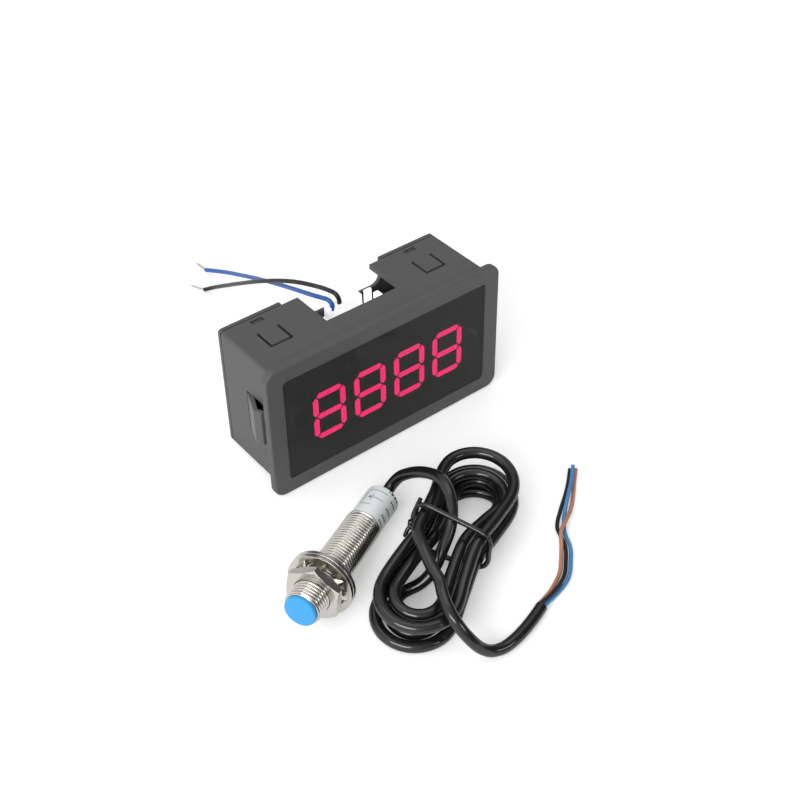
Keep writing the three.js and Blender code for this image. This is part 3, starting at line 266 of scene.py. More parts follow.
class TachometerColours(bpy.types.PropertyGroup):
    """Colours of the pieces, in scene-linear values."""

    housing: bpy.props.FloatVectorProperty(
        name="Housing", description="Moulded case", subtype="COLOR", default=(0.076, 0.076, 0.0755))
    lens: bpy.props.FloatVectorProperty(
        name="Lens", description="Tint of the smoked window", subtype="COLOR",
        default=(0.064, 0.064, 0.064))
    figures: bpy.props.FloatVectorProperty(
        name="Figures", description="Light of the display bars", subtype="COLOR",
        default=(1.0, 0.014, 0.165))
    display: bpy.props.FloatVectorProperty(
        name="Display block", description="Body of the display", subtype="COLOR",
        default=(0.008, 0.008, 0.009))
    nylon: bpy.props.FloatVectorProperty(
        name="Connectors", description="Headers and plug", subtype="COLOR", default=(0.88, 0.88, 0.87))
    board: bpy.props.FloatVectorProperty(
        name="Board", description="Solder mask", subtype="COLOR", default=(0.013, 0.09, 0.04))
    nickel: bpy.props.FloatVectorProperty(
        name="Nickel", description="Plating on barrel, nut and washers", subtype="COLOR",
        default=(0.66, 0.642, 0.595))
    cap: bpy.props.FloatVectorProperty(
        name="Sensing cap", description="Blue face of the sensor", subtype="COLOR",
        default=(0.033, 0.315, 0.69))
    label: bpy.props.FloatVectorProperty(
        name="Label", description="Printed film on the barrel", subtype="COLOR", default=(0.82, 0.87, 0.87))
    jacket: bpy.props.FloatVectorProperty(
        name="Cable jacket", description="Black sheath", subtype="COLOR", default=(0.0075, 0.0078, 0.009))
    blue: bpy.props.FloatVectorProperty(
        name="Blue wire", description="Blue insulation", subtype="COLOR", default=(0.012, 0.09, 0.36))
    blue_core: bpy.props.FloatVectorProperty(
        name="Blue core", description="Blue core of the cable", subtype="COLOR", default=(0.055, 0.22, 0.48))
    brown: bpy.props.FloatVectorProperty(
        name="Brown core", description="Brown core of the cable", subtype="COLOR", default=(0.45, 0.2, 0.13))


def settings(context):
    return context.scene.tachometer_sizes, context.scene.tachometer_colours


def made_once(collection):
    """What a function has made is found again by its name and not made twice."""
    def with_memory(build):
        def found_or_built(name, *values, **options):
            return getattr(bpy.data, collection).get(name) or build(name, *values, **options)
        return found_or_built
    return with_memory


# Shared node groups


def new_group(name, inputs, outputs):
    group = bpy.data.node_groups.new(name, "ShaderNodeTree")
    for label, kind, value in inputs:
        socket = group.interface.new_socket(name=label, in_out="INPUT", socket_type=kind)
        socket.default_value = value
    for label, kind in outputs:
        group.interface.new_socket(name=label, in_out="OUTPUT", socket_type=kind)
    return group, group.nodes.new("NodeGroupInput"), group.nodes.new("NodeGroupOutput")


def math_node(tree, operation, first, second=None, third=None):
    node = tree.nodes.new("ShaderNodeMath")
    node.operation = operation
    for socket, value in zip(node.inputs, (first, second, third)):
        if value is None:
            continue
        if isinstance(value, (int, float)):
            socket.default_value = value
        else:
            tree.links.new(value, socket)
    return node.outputs[0]


def noise_node(tree, vector, scale, detail, stretch=None):
    if stretch is not None:
        mapping = tree.nodes.new("ShaderNodeMapping")
        mapping.inputs["Scale"].default_value = stretch
        tree.links.new(vector, mapping.inputs["Vector"])
        vector = mapping.outputs["Vector"]
    node = tree.nodes.new("ShaderNodeTexNoise")
    node.inputs["Detail"].default_value = detail
    node.inputs["Roughness"].default_value = 0.55
    tree.links.new(vector, node.inputs["Vector"])
    if isinstance(scale, (int, float)):
        node.inputs["Scale"].default_value = scale
    else:
        tree.links.new(scale, node.inputs["Scale"])
    return node.outputs["Fac"]


def object_coordinates(tree):
    return tree.nodes.new("ShaderNodeTexCoord").outputs["Object"]


def vector_node(tree, operation, vector):
    node = tree.nodes.new("ShaderNodeVectorMath")
    node.operation = operation
    tree.links.new(vector, node.inputs[0])
    return node


def smooth_step(tree, value, reach, results):
    """From the first result to the second, as the value goes from one end of its reach to the other."""
    node = tree.nodes.new("ShaderNodeMapRange")
    node.interpolation_type = "SMOOTHSTEP"
    tree.links.new(value, node.inputs["Value"])
    for label, number in zip(("From Min", "From Max", "To Min", "To Max"), (*reach, *results)):
        node.inputs[label].default_value = number
    return node.outputs["Result"]


def seen_straight(tree, rays):
    """1 for what the camera sees by itself or through a pane."""
    return math_node(tree, "MAXIMUM", rays.outputs["Is Camera Ray"], rays.outputs["Is Transmission Ray"])


def centred_share(tree, value, middle, spread, base):
    """The base, moved by the value's distance from its middle times the spread."""
    return math_node(tree, "MULTIPLY_ADD", math_node(tree, "SUBTRACT", value, middle), spread, base)


@made_once("node_groups")
def surface_variation_group(name):
    """Slow tone drift, fine grain and roughness drift for any finish."""
    group, start, end = new_group(
        name,
        [("Colour", "NodeSocketColor", (0.5, 0.5, 0.5, 1)), ("Tone Spread", "NodeSocketFloat", 0.1),
         ("Drift Scale", "NodeSocketFloat", 60.0), ("Grain Scale", "NodeSocketFloat", 2500.0),
         ("Roughness", "NodeSocketFloat", 0.5), ("Roughness Spread", "NodeSocketFloat", 0.1)],
        [("Colour", "NodeSocketColor"), ("Roughness", "NodeSocketFloat"), ("Height", "NodeSocketFloat")])
    vector = object_coordinates(group)
    drift = noise_node(group, vector, start.outputs["Drift Scale"], detail=4.0)
    grain = noise_node(group, vector, start.outputs["Grain Scale"], detail=2.0)
    mixed = math_node(group, "MULTIPLY_ADD", grain, GRAIN_SHARE,
                      math_node(group, "MULTIPLY", drift, DRIFT_SHARE))
    scale = vector_node(group, "SCALE", start.outputs["Colour"])
    tone = centred_share(group, mixed, 0.5, start.outputs["Tone Spread"], 1.0)
    group.links.new(tone, scale.inputs["Scale"])
    group.links.new(scale.outputs[0], end.inputs["Colour"])
    rough = centred_share(group, drift, 0.5, start.outputs["Roughness Spread"], start.outputs["Roughness"])
    group.links.new(rough, end.inputs["Roughness"])
    group.links.new(grain, end.inputs["Height"])
    return group


@made_once("node_groups")
def handling_marks_group(name):
    """Long faint scratches and smudges that lift or lower the gloss."""
    group, start, end = new_group(
        name,
        [("Roughness", "NodeSocketFloat", 0.2), ("Smudge", "NodeSocketFloat", 0.1),
         ("Scratch", "NodeSocketFloat", 0.1), ("Scale", "NodeSocketFloat", 90.0)],
        [("Roughness", "NodeSocketFloat"), ("Height", "NodeSocketFloat")])
    vector = object_coordinates(group)
    smudge = noise_node(group, vector, start.outputs["Scale"], detail=5.0)
    scratch = noise_node(group, vector, scale=420.0, detail=2.0, stretch=(1.0, 0.04, 1.0))
    cross = noise_node(group, vector, scale=520.0, detail=2.0, stretch=(0.05, 1.0, 1.0))
    # Two noises multiplied lie around a quarter
    lines = math_node(group, "MULTIPLY", scratch, cross)
    smudged = centred_share(group, smudge, 0.5, start.outputs["Smudge"], start.outputs["Roughness"])
    rough = centred_share(group, lines, 0.25, start.outputs["Scratch"], smudged)
    group.links.new(rough, end.inputs["Roughness"])
    group.links.new(lines, end.inputs["Height"])
    return group


def base_material(name, colour):
    material = bpy.data.materials.new(name)
    material.use_nodes = True
    material.diffuse_color = (*colour, 1)
    tree = material.node_tree
    shader = next(node for node in tree.nodes if node.type == "BSDF_PRINCIPLED")
    shader.inputs["Base Color"].default_value = (*colour, 1)
    return material, tree, shader


def place_group(tree, group, **values):
    node = tree.nodes.new("ShaderNodeGroup")
    node.node_tree = group
    for label, value in values.items():
        node.inputs[label.replace("_", " ")].default_value = value
    return node


def place_variation(tree, **values):
    return place_group(tree, surface_variation_group("surface_variation"), **values)


def place_marks(tree, **values):
    return place_group(tree, handling_marks_group("handling_marks"), **values)


def link_all(tree, source, target, **outputs):
    for output, socket in outputs.items():
        tree.links.new(source.outputs[output], target.inputs[socket])


def add_bump(tree, shader, height, strength, distance):
    bump = tree.nodes.new("ShaderNodeBump")
    bump.inputs["Strength"].default_value = strength
    bump.inputs["Distance"].default_value = distance
    tree.links.new(height, bump.inputs["Height"])
    tree.links.new(bump.outputs["Normal"], shader.inputs["Normal"])


@made_once("materials")
def plastic(name, colour, roughness, tone=0.12, grain=2600.0, bump=0.25, spread=0.12, specular=0.5,
            coat=0.0, glow=0.0):
    """Any moulded or coated finish, dull or glossy, clear-coated or with a little painted glow."""
    material, tree, shader = base_material(name, colour)
    group = place_variation(tree, Colour=(*colour, 1), Tone_Spread=tone, Grain_Scale=grain,
                            Roughness=roughness, Roughness_Spread=spread)
    link_all(tree, group, shader, Colour="Base Color", Roughness="Roughness")
    shader.inputs["Specular IOR Level"].default_value = specular
    shader.inputs["Coat Weight"].default_value = coat
    shader.inputs["Coat Roughness"].default_value = 0.08
    # Painted glow: the finish shines a little in its own colour, as painted light that lifts shaded faces
    shader.inputs["Emission Color"].default_value = (*colour, 1)
    shader.inputs["Emission Strength"].default_value = glow
    add_bump(tree, shader, group.outputs["Height"], strength=bump, distance=GRAIN_HEIGHT)
    return material


@made_once("materials")
def metal(name, colour, roughness):
    """Plated or bare metal with fine handling scratches."""
    material, tree, shader = base_material(name, colour)
    tone = place_variation(tree, Colour=(*colour, 1), Tone_Spread=0.14, Drift_Scale=140.0,
                           Roughness=roughness)
    marks = place_marks(tree, Roughness=roughness, Smudge=0.16, Scratch=0.12)
    tree.links.new(tone.outputs["Colour"], shader.inputs["Base Color"])
    tree.links.new(marks.outputs["Roughness"], shader.inputs["Roughness"])
    shader.inputs["Metallic"].default_value = 1.0
    add_bump(tree, shader, marks.outputs["Height"], strength=0.08, distance=SCRATCH_HEIGHT)
    return material


@made_once("materials")
def smoked_glass(name, colour):
    """A tinted pane without mirror images, as an antiglare window shows."""
    material, tree, shader = base_material(name, colour)
    marks = place_marks(tree, Roughness=0.05, Smudge=0.04, Scratch=0.02, Scale=40.0)
    tree.links.new(marks.outputs["Roughness"], shader.inputs["Roughness"])
    shader.inputs["Transmission Weight"].default_value = 0.5
    shader.inputs["IOR"].default_value = 1.49
    shader.inputs["Specular Tint"].default_value = (0.0, 0.0, 0.0, 1)
    shader.inputs["Specular IOR Level"].default_value = 0.0
    add_bump(tree, shader, marks.outputs["Height"], strength=0.004, distance=LENS_MARK_HEIGHT)
    return material


@made_once("materials")
def lit_resin(name, colour, strength):
    """The display's bars, which shine by themselves."""
    material, tree, shader = base_material(name, colour)
    group = place_variation(tree, Colour=(*colour, 1), Tone_Spread=0.06, Drift_Scale=260.0, Roughness=0.35,
                            Roughness_Spread=0.1)
    link_all(tree, group, shader, Colour="Base Color", Roughness="Roughness")
    link_all(tree, group, shader, Colour="Emission Color")
    # The bars are seen through the lens but light nothing else
    rays = tree.nodes.new("ShaderNodeLightPath")
    direct = math_node(tree, "MULTIPLY", math_node(tree, "LESS_THAN", rays.outputs["Diffuse Depth"], 0.5),
                       math_node(tree, "LESS_THAN", rays.outputs["Glossy Depth"], 0.5))
    tree.links.new(math_node(tree, "MULTIPLY", direct, strength), shader.inputs["Emission Strength"])
    return material


@made_once("materials")
def circuit_board(name, colour):
    """Solder mask with slightly raised, paler copper runs under it."""
    material, tree, shader = base_material(name, colour)
    group = place_variation(tree, Colour=(*colour, 1), Tone_Spread=0.2, Roughness=0.35, Roughness_Spread=0.15)
    runs = tree.nodes.new("ShaderNodeTexBrick")
    runs.inputs["Scale"].default_value = 260.0
    runs.inputs["Mortar Size"].default_value = 0.03
    tree.links.new(object_coordinates(tree), runs.inputs["Vector"])
    mix = tree.nodes.new("ShaderNodeMix")
    mix.data_type = "RGBA"
    tree.links.new(runs.outputs["Fac"], mix.inputs["Factor"])
    tree.links.new(group.outputs["Colour"], mix.inputs["A"])
    mix.inputs["B"].default_value = (*(share * tint for share, tint in zip(colour, COPPER_TINT)), 1)
    tree.links.new(mix.outputs["Result"], shader.inputs["Base Color"])
    tree.links.new(group.outputs["Roughness"], shader.inputs["Roughness"])
    add_bump(tree, shader, runs.outputs["Fac"], strength=0.3, distance=COPPER_HEIGHT)
    return material


# Mesh helpers


def link_object(name, mesh):
    piece = bpy.data.objects.new(name, mesh)
    bpy.context.scene.collection.objects.link(piece)
    return piece


def smooth_shading(mesh, angle):
    mesh.polygons.foreach_set("use_smooth", [True] * len(mesh.polygons))
    mesh.set_sharp_from_angle(angle=math.radians(angle))
    mesh.update()


def mend(mesh, merge=0.0):
    """Points closer than the merge distance become one, and all faces turn outward."""
    shape = bmesh.new()
    shape.from_mesh(mesh)
    if merge:
        bmesh.ops.remove_doubles(shape, verts=shape.verts, dist=merge)
    bmesh.ops.recalc_face_normals(shape, faces=shape.faces)
    shape.to_mesh(mesh)
    shape.free()


def mesh_object(name, points, faces, material, angle=LATHE_SMOOTH):
    mesh = bpy.data.meshes.new(name)
    mesh.from_pydata([tuple(point) for point in points], [], faces)
    mesh.validate()
    mesh.materials.append(material)
    smooth_shading(mesh, angle)
    return link_object(name, mesh)


def dress(piece, body, slot, *nodes):
    """The piece rides on its body and hides the nodes that it stands for. Its slot is not used."""
    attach(piece, body)
    if nodes:
        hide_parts(*nodes)
    return piece


def softened_copy(node, name, body, slot, material, radius):
    """A copy of a solid whose hard edges are rounded as a moulded or stamped piece's are."""
    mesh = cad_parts[node].data.copy()
    mesh.name = name
    shape = bmesh.new()
    shape.from_mesh(mesh)
    bmesh.ops.remove_doubles(shape, verts=shape.verts, dist=COPY_MERGE)
    bmesh.ops.dissolve_limit(shape, angle_limit=COPY_FLAT, verts=shape.verts, edges=shape.edges)
    shape.to_mesh(mesh)
    shape.free()
    mesh.materials.clear()
    mesh.materials.append(material)
    smooth_shading(mesh, COPY_SMOOTH)
    piece = link_object(name, mesh)
    bevel = piece.modifiers.new("rounded edges", "BEVEL")
    bevel.width = radius
    bevel.segments = EDGE_SEGMENTS
    bevel.limit_method = "ANGLE"
    bevel.angle_limit = COPY_EDGE
    bevel.use_clamp_overlap = True
    bevel.miter_outer = "MITER_ARC"
    # The large flat faces keep their own normals, so that only the rounded edges shade
    flat = piece.modifiers.new("flat faces", "WEIGHTED_NORMAL")
    flat.mode = "FACE_AREA"
    flat.weight = FLAT_FACE_WEIGHT
    flat.keep_sharp = True
    rounded = bpy.data.meshes.new_from_object(piece.evaluated_get(bpy.context.evaluated_depsgraph_get()))
    piece.modifiers.clear()
    piece.data = rounded
    rounded.name = name
    return dress(piece, body, slot, node)


def keep_node(node, material):
    """A solid whose shape is right keeps it and gets the finish."""
    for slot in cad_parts[node].material_slots:
        slot.material = material


def catmull_rom(points, spacing):
    """A smooth centripetal curve through the points, at about one spacing."""
    places = [Vector(point) for point in points]
    padded = [places[0] * 2 - places[1], *places, places[-1] * 2 - places[-2]]
    out = []
    for index in range(1, len(padded) - 2):
        p0, p1, p2, p3 = padded[index - 1:index + 3]
        t1 = (p1 - p0).length ** 0.5
        t2 = t1 + (p2 - p1).length ** 0.5
        t3 = t2 + (p3 - p2).length ** 0.5
        steps = max(1, math.ceil((p2 - p1).length / spacing))
        for step in range(steps):
            t = t1 + (t2 - t1) * step / steps
            a1 = p0.lerp(p1, t / t1)
            a2 = p1.lerp(p2, (t - t1) / (t2 - t1))
            a3 = p2.lerp(p3, (t - t2) / (t3 - t2))
            b1 = a1.lerp(a2, t / t2)
            b2 = a2.lerp(a3, (t - t1) / (t3 - t1))
            out.append(b1.lerp(b2, (t - t1) / (t2 - t1)))
    out.append(places[-1])
    return out


def swept_tube(name, path, diameter, sides, material, end_recess=0.0, round_ends=False):
    """A round tube along a path. Its far end can be cut open to a recess, or both its ends rounded off."""
    radius = diameter / 2
    tangents = [(path[min(index + 1, len(path) - 1)] - path[max(index - 1, 0)]).normalized()
                for index in range(len(path))]
    first, last = tangents[0], tangents[-1]
    across = UP.cross(first)
    if across.length < NEARLY_UPRIGHT:
        across = Vector((1, 0, 0))
    across.normalize()
    rings = []

    def add_ring(place, tangent, size):
        nonlocal across
        across = (across - tangent * across.dot(tangent)).normalized()
        above = tangent.cross(across)
        rings.append([place + (across * math.cos(FULL_TURN * side / sides)
                               + above * math.sin(FULL_TURN * side / sides)) * size for side in range(sides)])

    if round_ends:
        for share in ROUND_END_SHARES:
            add_ring(path[0] + first * radius * (1 - share) * ROUND_DEPTH_SHARE, first, radius * share)
    for index, place in enumerate(path):
        if round_ends and index in (0, len(path) - 1):
            place = place + tangents[index] * radius * (-ROUND_DEPTH_SHARE if index else ROUND_DEPTH_SHARE)
        add_ring(place, tangents[index], radius)
    if round_ends:
        for share in reversed(ROUND_END_SHARES):
            add_ring(path[-1] - last * radius * (1 - share) * ROUND_DEPTH_SHARE, last, radius * share)
    if end_recess:
        add_ring(path[-1], last, radius * RECESS_RIM_SHARE)
        add_ring(path[-1] - last * end_recess, last, radius * RECESS_FLOOR_SHARE)
    points = [point for ring in rings for point in ring]
    faces = [tuple(reversed(range(sides)))]
    for low in range(0, len(points) - sides, sides):
        for side in range(sides):
            other = (side + 1) % sides
            faces.append((low + side, low + other, low + sides + other, low + sides + side))
    faces.append(tuple(range(len(points) - sides, len(points))))
    return mesh_object(name, points, faces, material, TUBE_SMOOTH)


def join_pieces(name, pieces):
    """One mesh from several, each keeping its finish."""
    mesh = bpy.data.meshes.new(name)
    shape = bmesh.new()
    materials = []
    for piece in pieces:
        start = len(shape.faces)
        shape.from_mesh(piece.data)
        shape.faces.ensure_lookup_table()
        own = list(piece.data.materials)
        for material in own:
            if material not in materials:
                materials.append(material)
        for face in shape.faces[start:]:
            face.material_index = materials.index(own[face.material_index])
    shape.to_mesh(mesh)
    shape.free()
    for material in materials:
        mesh.materials.append(material)
    for piece in pieces:
        old = piece.data
        bpy.data.objects.remove(piece)
        bpy.data.meshes.remove(old)
    smooth_shading(mesh, TUBE_SMOOTH)
    return link_object(name, mesh)


def bench(point):
    """A point of the bench drawing, in millimetres, in the object's frame."""
    return Vector(point) * MM + BENCH_SHIFT


def on_meter(point):
    """A point of the meter's own drawing, in millimetres, in the object's frame."""
    x, y, z = point
    cosine, sine = math.cos(METER_LEAN), math.sin(METER_LEAN)
    high = z + BEZEL_HALF_HEIGHT
    return bench((x, y * cosine + high * sine, high * cosine - y * sine + BEZEL_THICKNESS * sine))


# Routes of the wires, the cable and its cores, in millimetres on the bench
WIRE_BLUE = [
    (-6.05, 20.36, 37.15), (-6.05, 20.5, 39.2), (-6.5, 21.7, 40.1), (-6.7, 24.0, 39.3), (-7.3, 28.0, 37.96),
    (-7.11, 35.0, 34.81), (-5.49, 45.6, 28.87), (-3.13, 60.0, 20.41), (-0.95, 75.0, 11.34),
    (-0.53, 84.5, 6.09), (-1.08, 91.0, 2.75), (-1.6, 95.18, 0.66),
]
WIRE_BLACK = [
    (-3.55, 20.36, 37.15), (-3.55, 20.66, 39.56), (-3.95, 21.6, 40.93), (-4.23, 25.2, 40.24),
    (-4.36, 31.0, 37.83), (-5.27, 37.6, 35.17), (-6.24, 44.4, 31.68), (-7.25, 53.6, 25.96),
    (-6.87, 65.6, 17.08), (-6.01, 75.8, 9.11), (-5.95, 84.0, 2.76), (-7.39, 86.97, 0.66),
]
LEAD = [
    (-21.68, -21.34, 5.06), (-19.0, -20.0, 4.68), (-16.8, -18.9, 4.85), (-14.6, -18.5, 6.4),
    (-12.7, -19.3, 9.0), (-11.5, -21.4, 11.4), (-10.7, -24.1, 13.8), (-10.1, -27.3, 15.9),
    (-9.8, -30.5, 17.4), (-10.0, -33.5, 18.1), (-10.8, -36.5, 17.9), (-11.9, -39.1, 17.1),
    (-13.8, -41.9, 15.4), (-16.1, -44.0, 12.9), (-19.88, -45.93, 9.8), (-22.64, -47.1, 7.0),
    (-25.29, -47.56, 4.8), (-28.01, -47.17, 3.0), (-30.53, -46.24, 1.9), (-32.27, -45.95, 1.6),
    (-34.1, -46.28, 1.6),
]
TAIL = [
    (-22.39, -39.32, 15.14), (-24.06, -40.71, 15.1), (-25.24, -42.69, 15.0), (-26.26, -45.47, 14.9),
    (-27.48, -49.02, 14.6), (-28.52, -52.48, 14.3), (-29.13, -55.58, 14.0), (-31.05, -59.25, 13.7),
    (-32.33, -62.54, 13.2), (-32.84, -65.51, 12.2), (-32.29, -68.2, 10.0), (-30.94, -70.46, 7.2),
    (-29.04, -72.1, 4.4), (-26.42, -73.24, 2.3), (-23.25, -73.95, 1.6), (-19.83, -73.9, 1.6),
    (-15.4, -73.07, 1.6), (-10.79, -71.74, 1.6), (-6.96, -70.37, 1.6),
]
CORES = {
    "brown": [
        (-6.9, -69.24, 1.25), (-1.85, -67.93, 1.0), (2.03, -66.22, 0.7), (5.0, -64.59, 0.6),
        (7.61, -62.3, 0.6), (10.05, -59.84, 0.6), (11.19, -58.59, 1.3), (12.13, -57.3, 2.1),
        (13.34, -55.99, 2.3), (14.79, -54.86, 2.3), (16.92, -53.75, 2.15), (20.24, -51.94, 1.45),
        (23.4, -49.81, 0.7), (26.4, -47.3, 0.6), (29.22, -44.69, 0.6), (31.84, -42.33, 0.6),
        (33.95, -40.51, 0.6),
    ],
    "blue": [
        (-6.46, -70.46, 1.25), (-0.1, -69.18, 0.65), (3.95, -68.04, 0.6), (6.89, -66.41, 0.6),
        (9.68, -63.84, 0.6), (12.12, -61.37, 0.6), (13.53, -59.39, 0.6), (14.5, -57.27, 0.6),
        (15.54, -55.39, 0.6), (16.98, -53.56, 0.6), (18.75, -51.73, 0.6), (20.31, -50.38, 0.8),
        (21.77, -49.15, 1.4), (24.11, -47.39, 2.0), (27.19, -45.12, 2.1), (30.38, -42.51, 1.9),
        (33.27, -39.83, 1.9),
    ],
    "black": [
        (-6.68, -69.86, 2.35), (-1.65, -69.0, 1.95), (2.39, -67.59, 1.4), (5.68, -65.76, 0.85),
        (8.64, -63.07, 0.6), (11.05, -60.58, 0.6), (12.48, -58.61, 0.6), (13.45, -56.49, 0.6),
        (14.1, -54.77, 0.6), (14.97, -53.06, 0.6), (16.87, -51.24, 0.6), (19.05, -49.69, 0.6),
        (21.28, -48.14, 0.6), (24.26, -46.18, 0.6), (27.47, -43.87, 0.6), (30.37, -41.49, 0.6),
        (32.6, -39.52, 0.6),
    ],
}

# The twist tie round the hank, in millimetres on the hank's own drawing
TIE_TURN = [
    (0.8, 9.6, 9.2), (0.8, 9.45, 11.5), (0.8, 9.45, 14.8), (0.8, 8.8, 16.8), (0.8, 6.8, 17.85),
    (0.8, 3.0, 17.5), (0.8, -3.0, 16.75), (0.8, -8.0, 16.1), (0.8, -10.3, 15.3), (0.8, -11.35, 13.3),
    (0.8, -11.4, 9.5), (0.8, -11.35, 5.8), (0.8, -10.2, 3.4), (0.8, -7.6, 1.9), (0.8, -4.8, 1.05),
    (0.8, 0.0, 1.05), (0.8, 6.2, 1.05), (0.8, 8.4, 1.75), (0.8, 9.45, 3.9), (0.8, 9.5, 7.6),
]
TIE_KNOT = (0.8, 10.1, 8.4)
TIE_END_HIGH = [(0.8, 10.2, 8.6), (2.6, 11.0, 9.8), (4.8, 11.0, 11.4), (6.8, 10.9, 12.6)]
TIE_END_LOW = [(0.8, 10.2, 8.2), (-0.2, 11.0, 7.2), (-1.6, 11.2, 5.4)]

# The hank's spiral, as in the solids, in millimetres: it winds outward and inward in turn, layer on layer
HANK_FLOOR = 1.6
HANK_INNER = 5.2
HANK_STEP = 3.75
HANK_RISE = 3.78
HANK_HALF = 18.5
HANK_DRAW = 2.2
HANK_LIFT = 2.2
HANK_STRETCH = 1.05
# Where the loops begin to stray from each other, in shares of half a straight
STRAY_FROM_SHARE = 1 / 3
# In turns: half of each straight stretch, where the spiral starts and ends, and where it changes layer
STRAIGHT_HALF = 1 / 12
HANK_TURNS = (STRAIGHT_HALF, 5.0)
HANK_REVERSALS = (1.5, 3.0, 4.5)
POINTS_A_TURN = 24
# Keeps a whole number of turns whole
ROUNDING = 1e-9
# For each layer, how far its loops stray sideways and outward at either end, in shares of the step
LOW_FAN_SHARES = (-0.1, 0.15, -0.3, -0.1)
HIGH_FAN_SHARES = (-0.3, 0.25, -0.15, 0.3)
LOW_REACH_SHARES = (0.3, -0.3, 0.2, 0.0)
HIGH_REACH_SHARES = (-0.3, 0.3, -0.4, 0.1)


def eased(share):
    clipped = min(max(share, 0.0), 1.0)
    return clipped * clipped * (3 - 2 * clipped)


def hank_radius(turn):
    """The spiral grows by one step a turn, and shrinks again after each reversal."""
    radius, before, sign = HANK_INNER, 0.0, 1
    for reversal in (*HANK_REVERSALS, math.inf):
        span = min(turn, reversal) - before
        if span > 0:
            radius += sign * span * HANK_STEP
        before, sign = reversal, -sign
    return radius


def layer_value(shares, layer):
    """A layer's share, blended while the cable climbs from one layer to the next."""
    low = min(int(layer), len(shares) - 1)
    high = min(low + 1, len(shares) - 1)
    return shares[low] + (shares[high] - shares[low]) * (layer - low)


def hank_point(turn):
    """The cable's middle after so many turns: two straights, two bends and the layer that it lies in."""
    phase = turn - math.floor(turn + ROUNDING)
    radius = hank_radius(turn)
    layer = sum(eased((turn - reversal + STRAIGHT_HALF) / (2 * STRAIGHT_HALF)) for reversal in HANK_REVERSALS)
    bend = math.pi / (0.5 - 2 * STRAIGHT_HALF)
    if phase < STRAIGHT_HALF or phase >= 1 - STRAIGHT_HALF:
        along = -(phase if phase < 0.5 else phase - 1) / STRAIGHT_HALF * HANK_HALF
        across = radius
    elif phase < 0.5 - STRAIGHT_HALF:
        angle = (phase - STRAIGHT_HALF) * bend
        along = -HANK_HALF - radius * HANK_STRETCH * math.sin(angle)
        across = radius * math.cos(angle)
    elif phase < 0.5 + STRAIGHT_HALF:
        along = (phase - 0.5) / STRAIGHT_HALF * HANK_HALF
        across = -radius
    else:
        angle = (phase - 0.5 - STRAIGHT_HALF) * bend
        along = HANK_HALF + radius * HANK_STRETCH * math.sin(angle)
        across = -radius * math.cos(angle)
    waist = math.cos(min(abs(along), HANK_HALF) / HANK_HALF * math.pi / 2) ** 2
    outer = eased(abs(along) / HANK_HALF - STRAY_FROM_SHARE)
    fan = layer_value(LOW_FAN_SHARES if along < 0 else HIGH_FAN_SHARES, layer)
    reach = layer_value(LOW_REACH_SHARES if along < 0 else HIGH_REACH_SHARES, layer)
    return (along + math.copysign(1, along) * outer * reach * HANK_STEP,
            across - math.copysign(1, across) * HANK_DRAW * waist + fan * outer * HANK_STEP,
            HANK_FLOOR + HANK_RISE * layer + HANK_LIFT * waist)


def on_hank(point):
    """A point of the hank's own drawing, on the bench."""
    along, across, height = point
    cosine, sine = math.cos(HANK_BEARING), math.sin(HANK_BEARING)
    return bench((HANK_PLACE[0] + cosine * along - sine * across,
                  HANK_PLACE[1] + sine * along + cosine * across, height))


def cable_route():
    """The whole cable's points: the lead from the gland, the hank's turns and the tail."""
    first, last = HANK_TURNS
    count = int((last - first) * POINTS_A_TURN + ROUNDING)
    turns = [on_hank(hank_point(first + step / POINTS_A_TURN)) for step in range(count + 1)]
    # The lead's last point only parts the solids, so the curve runs on to the hank without it
    return [bench(point) for point in LEAD[:-1]] + turns + [bench(point) for point in TAIL]


def routed(points, step=ROUTE_STEP, place=bench):
    """A smooth path through the points of a drawing."""
    return catmull_rom([place(point) for point in points], step)


def jacket_material(colours):
    return plastic("glossy_black_jacket", colours.jacket, 0.2, tone=0.2, grain=900.0, bump=0.04,
                   spread=0.08, specular=0.55, coat=0.25)


def nickel_plating(colours):
    return metal("nickel_plating", colours.nickel, 0.2)


class TACHOMETER_OT_camera(bpy.types.Operator):
    """Stand the camera where the photograph was taken"""

    bl_idname = "tachometer.camera"
    bl_label = "Camera"

    def execute(self, context):
        forward = Vector(CAMERA_FORWARD).normalized()
        level = forward.cross(UP).normalized()
        upright = level.cross(forward)
        # The roll is measured from the level line to the picture's own side line
        side = level * math.cos(CAMERA_ROLL) + upright * math.sin(CAMERA_ROLL)
        above = side.cross(forward)
        turn = Matrix((side, above, -forward)).transposed().to_4x4()
        lens = bpy.data.cameras.new("photo_camera")
        lens.sensor_width = FILM_WIDTH
        lens.lens = FOCAL_PIXELS / PICTURE_PIXELS * FILM_WIDTH
        lens.shift_x, lens.shift_y = PICTURE_SHIFT
        lens.clip_start = NEAREST_SEEN
        camera = bpy.data.objects.new("photo_camera", lens)
        context.scene.collection.objects.link(camera)
        camera.matrix_world = Matrix.Translation(bench(CAMERA_PLACE)) @ turn
        context.scene.camera = camera
        return {"FINISHED"}


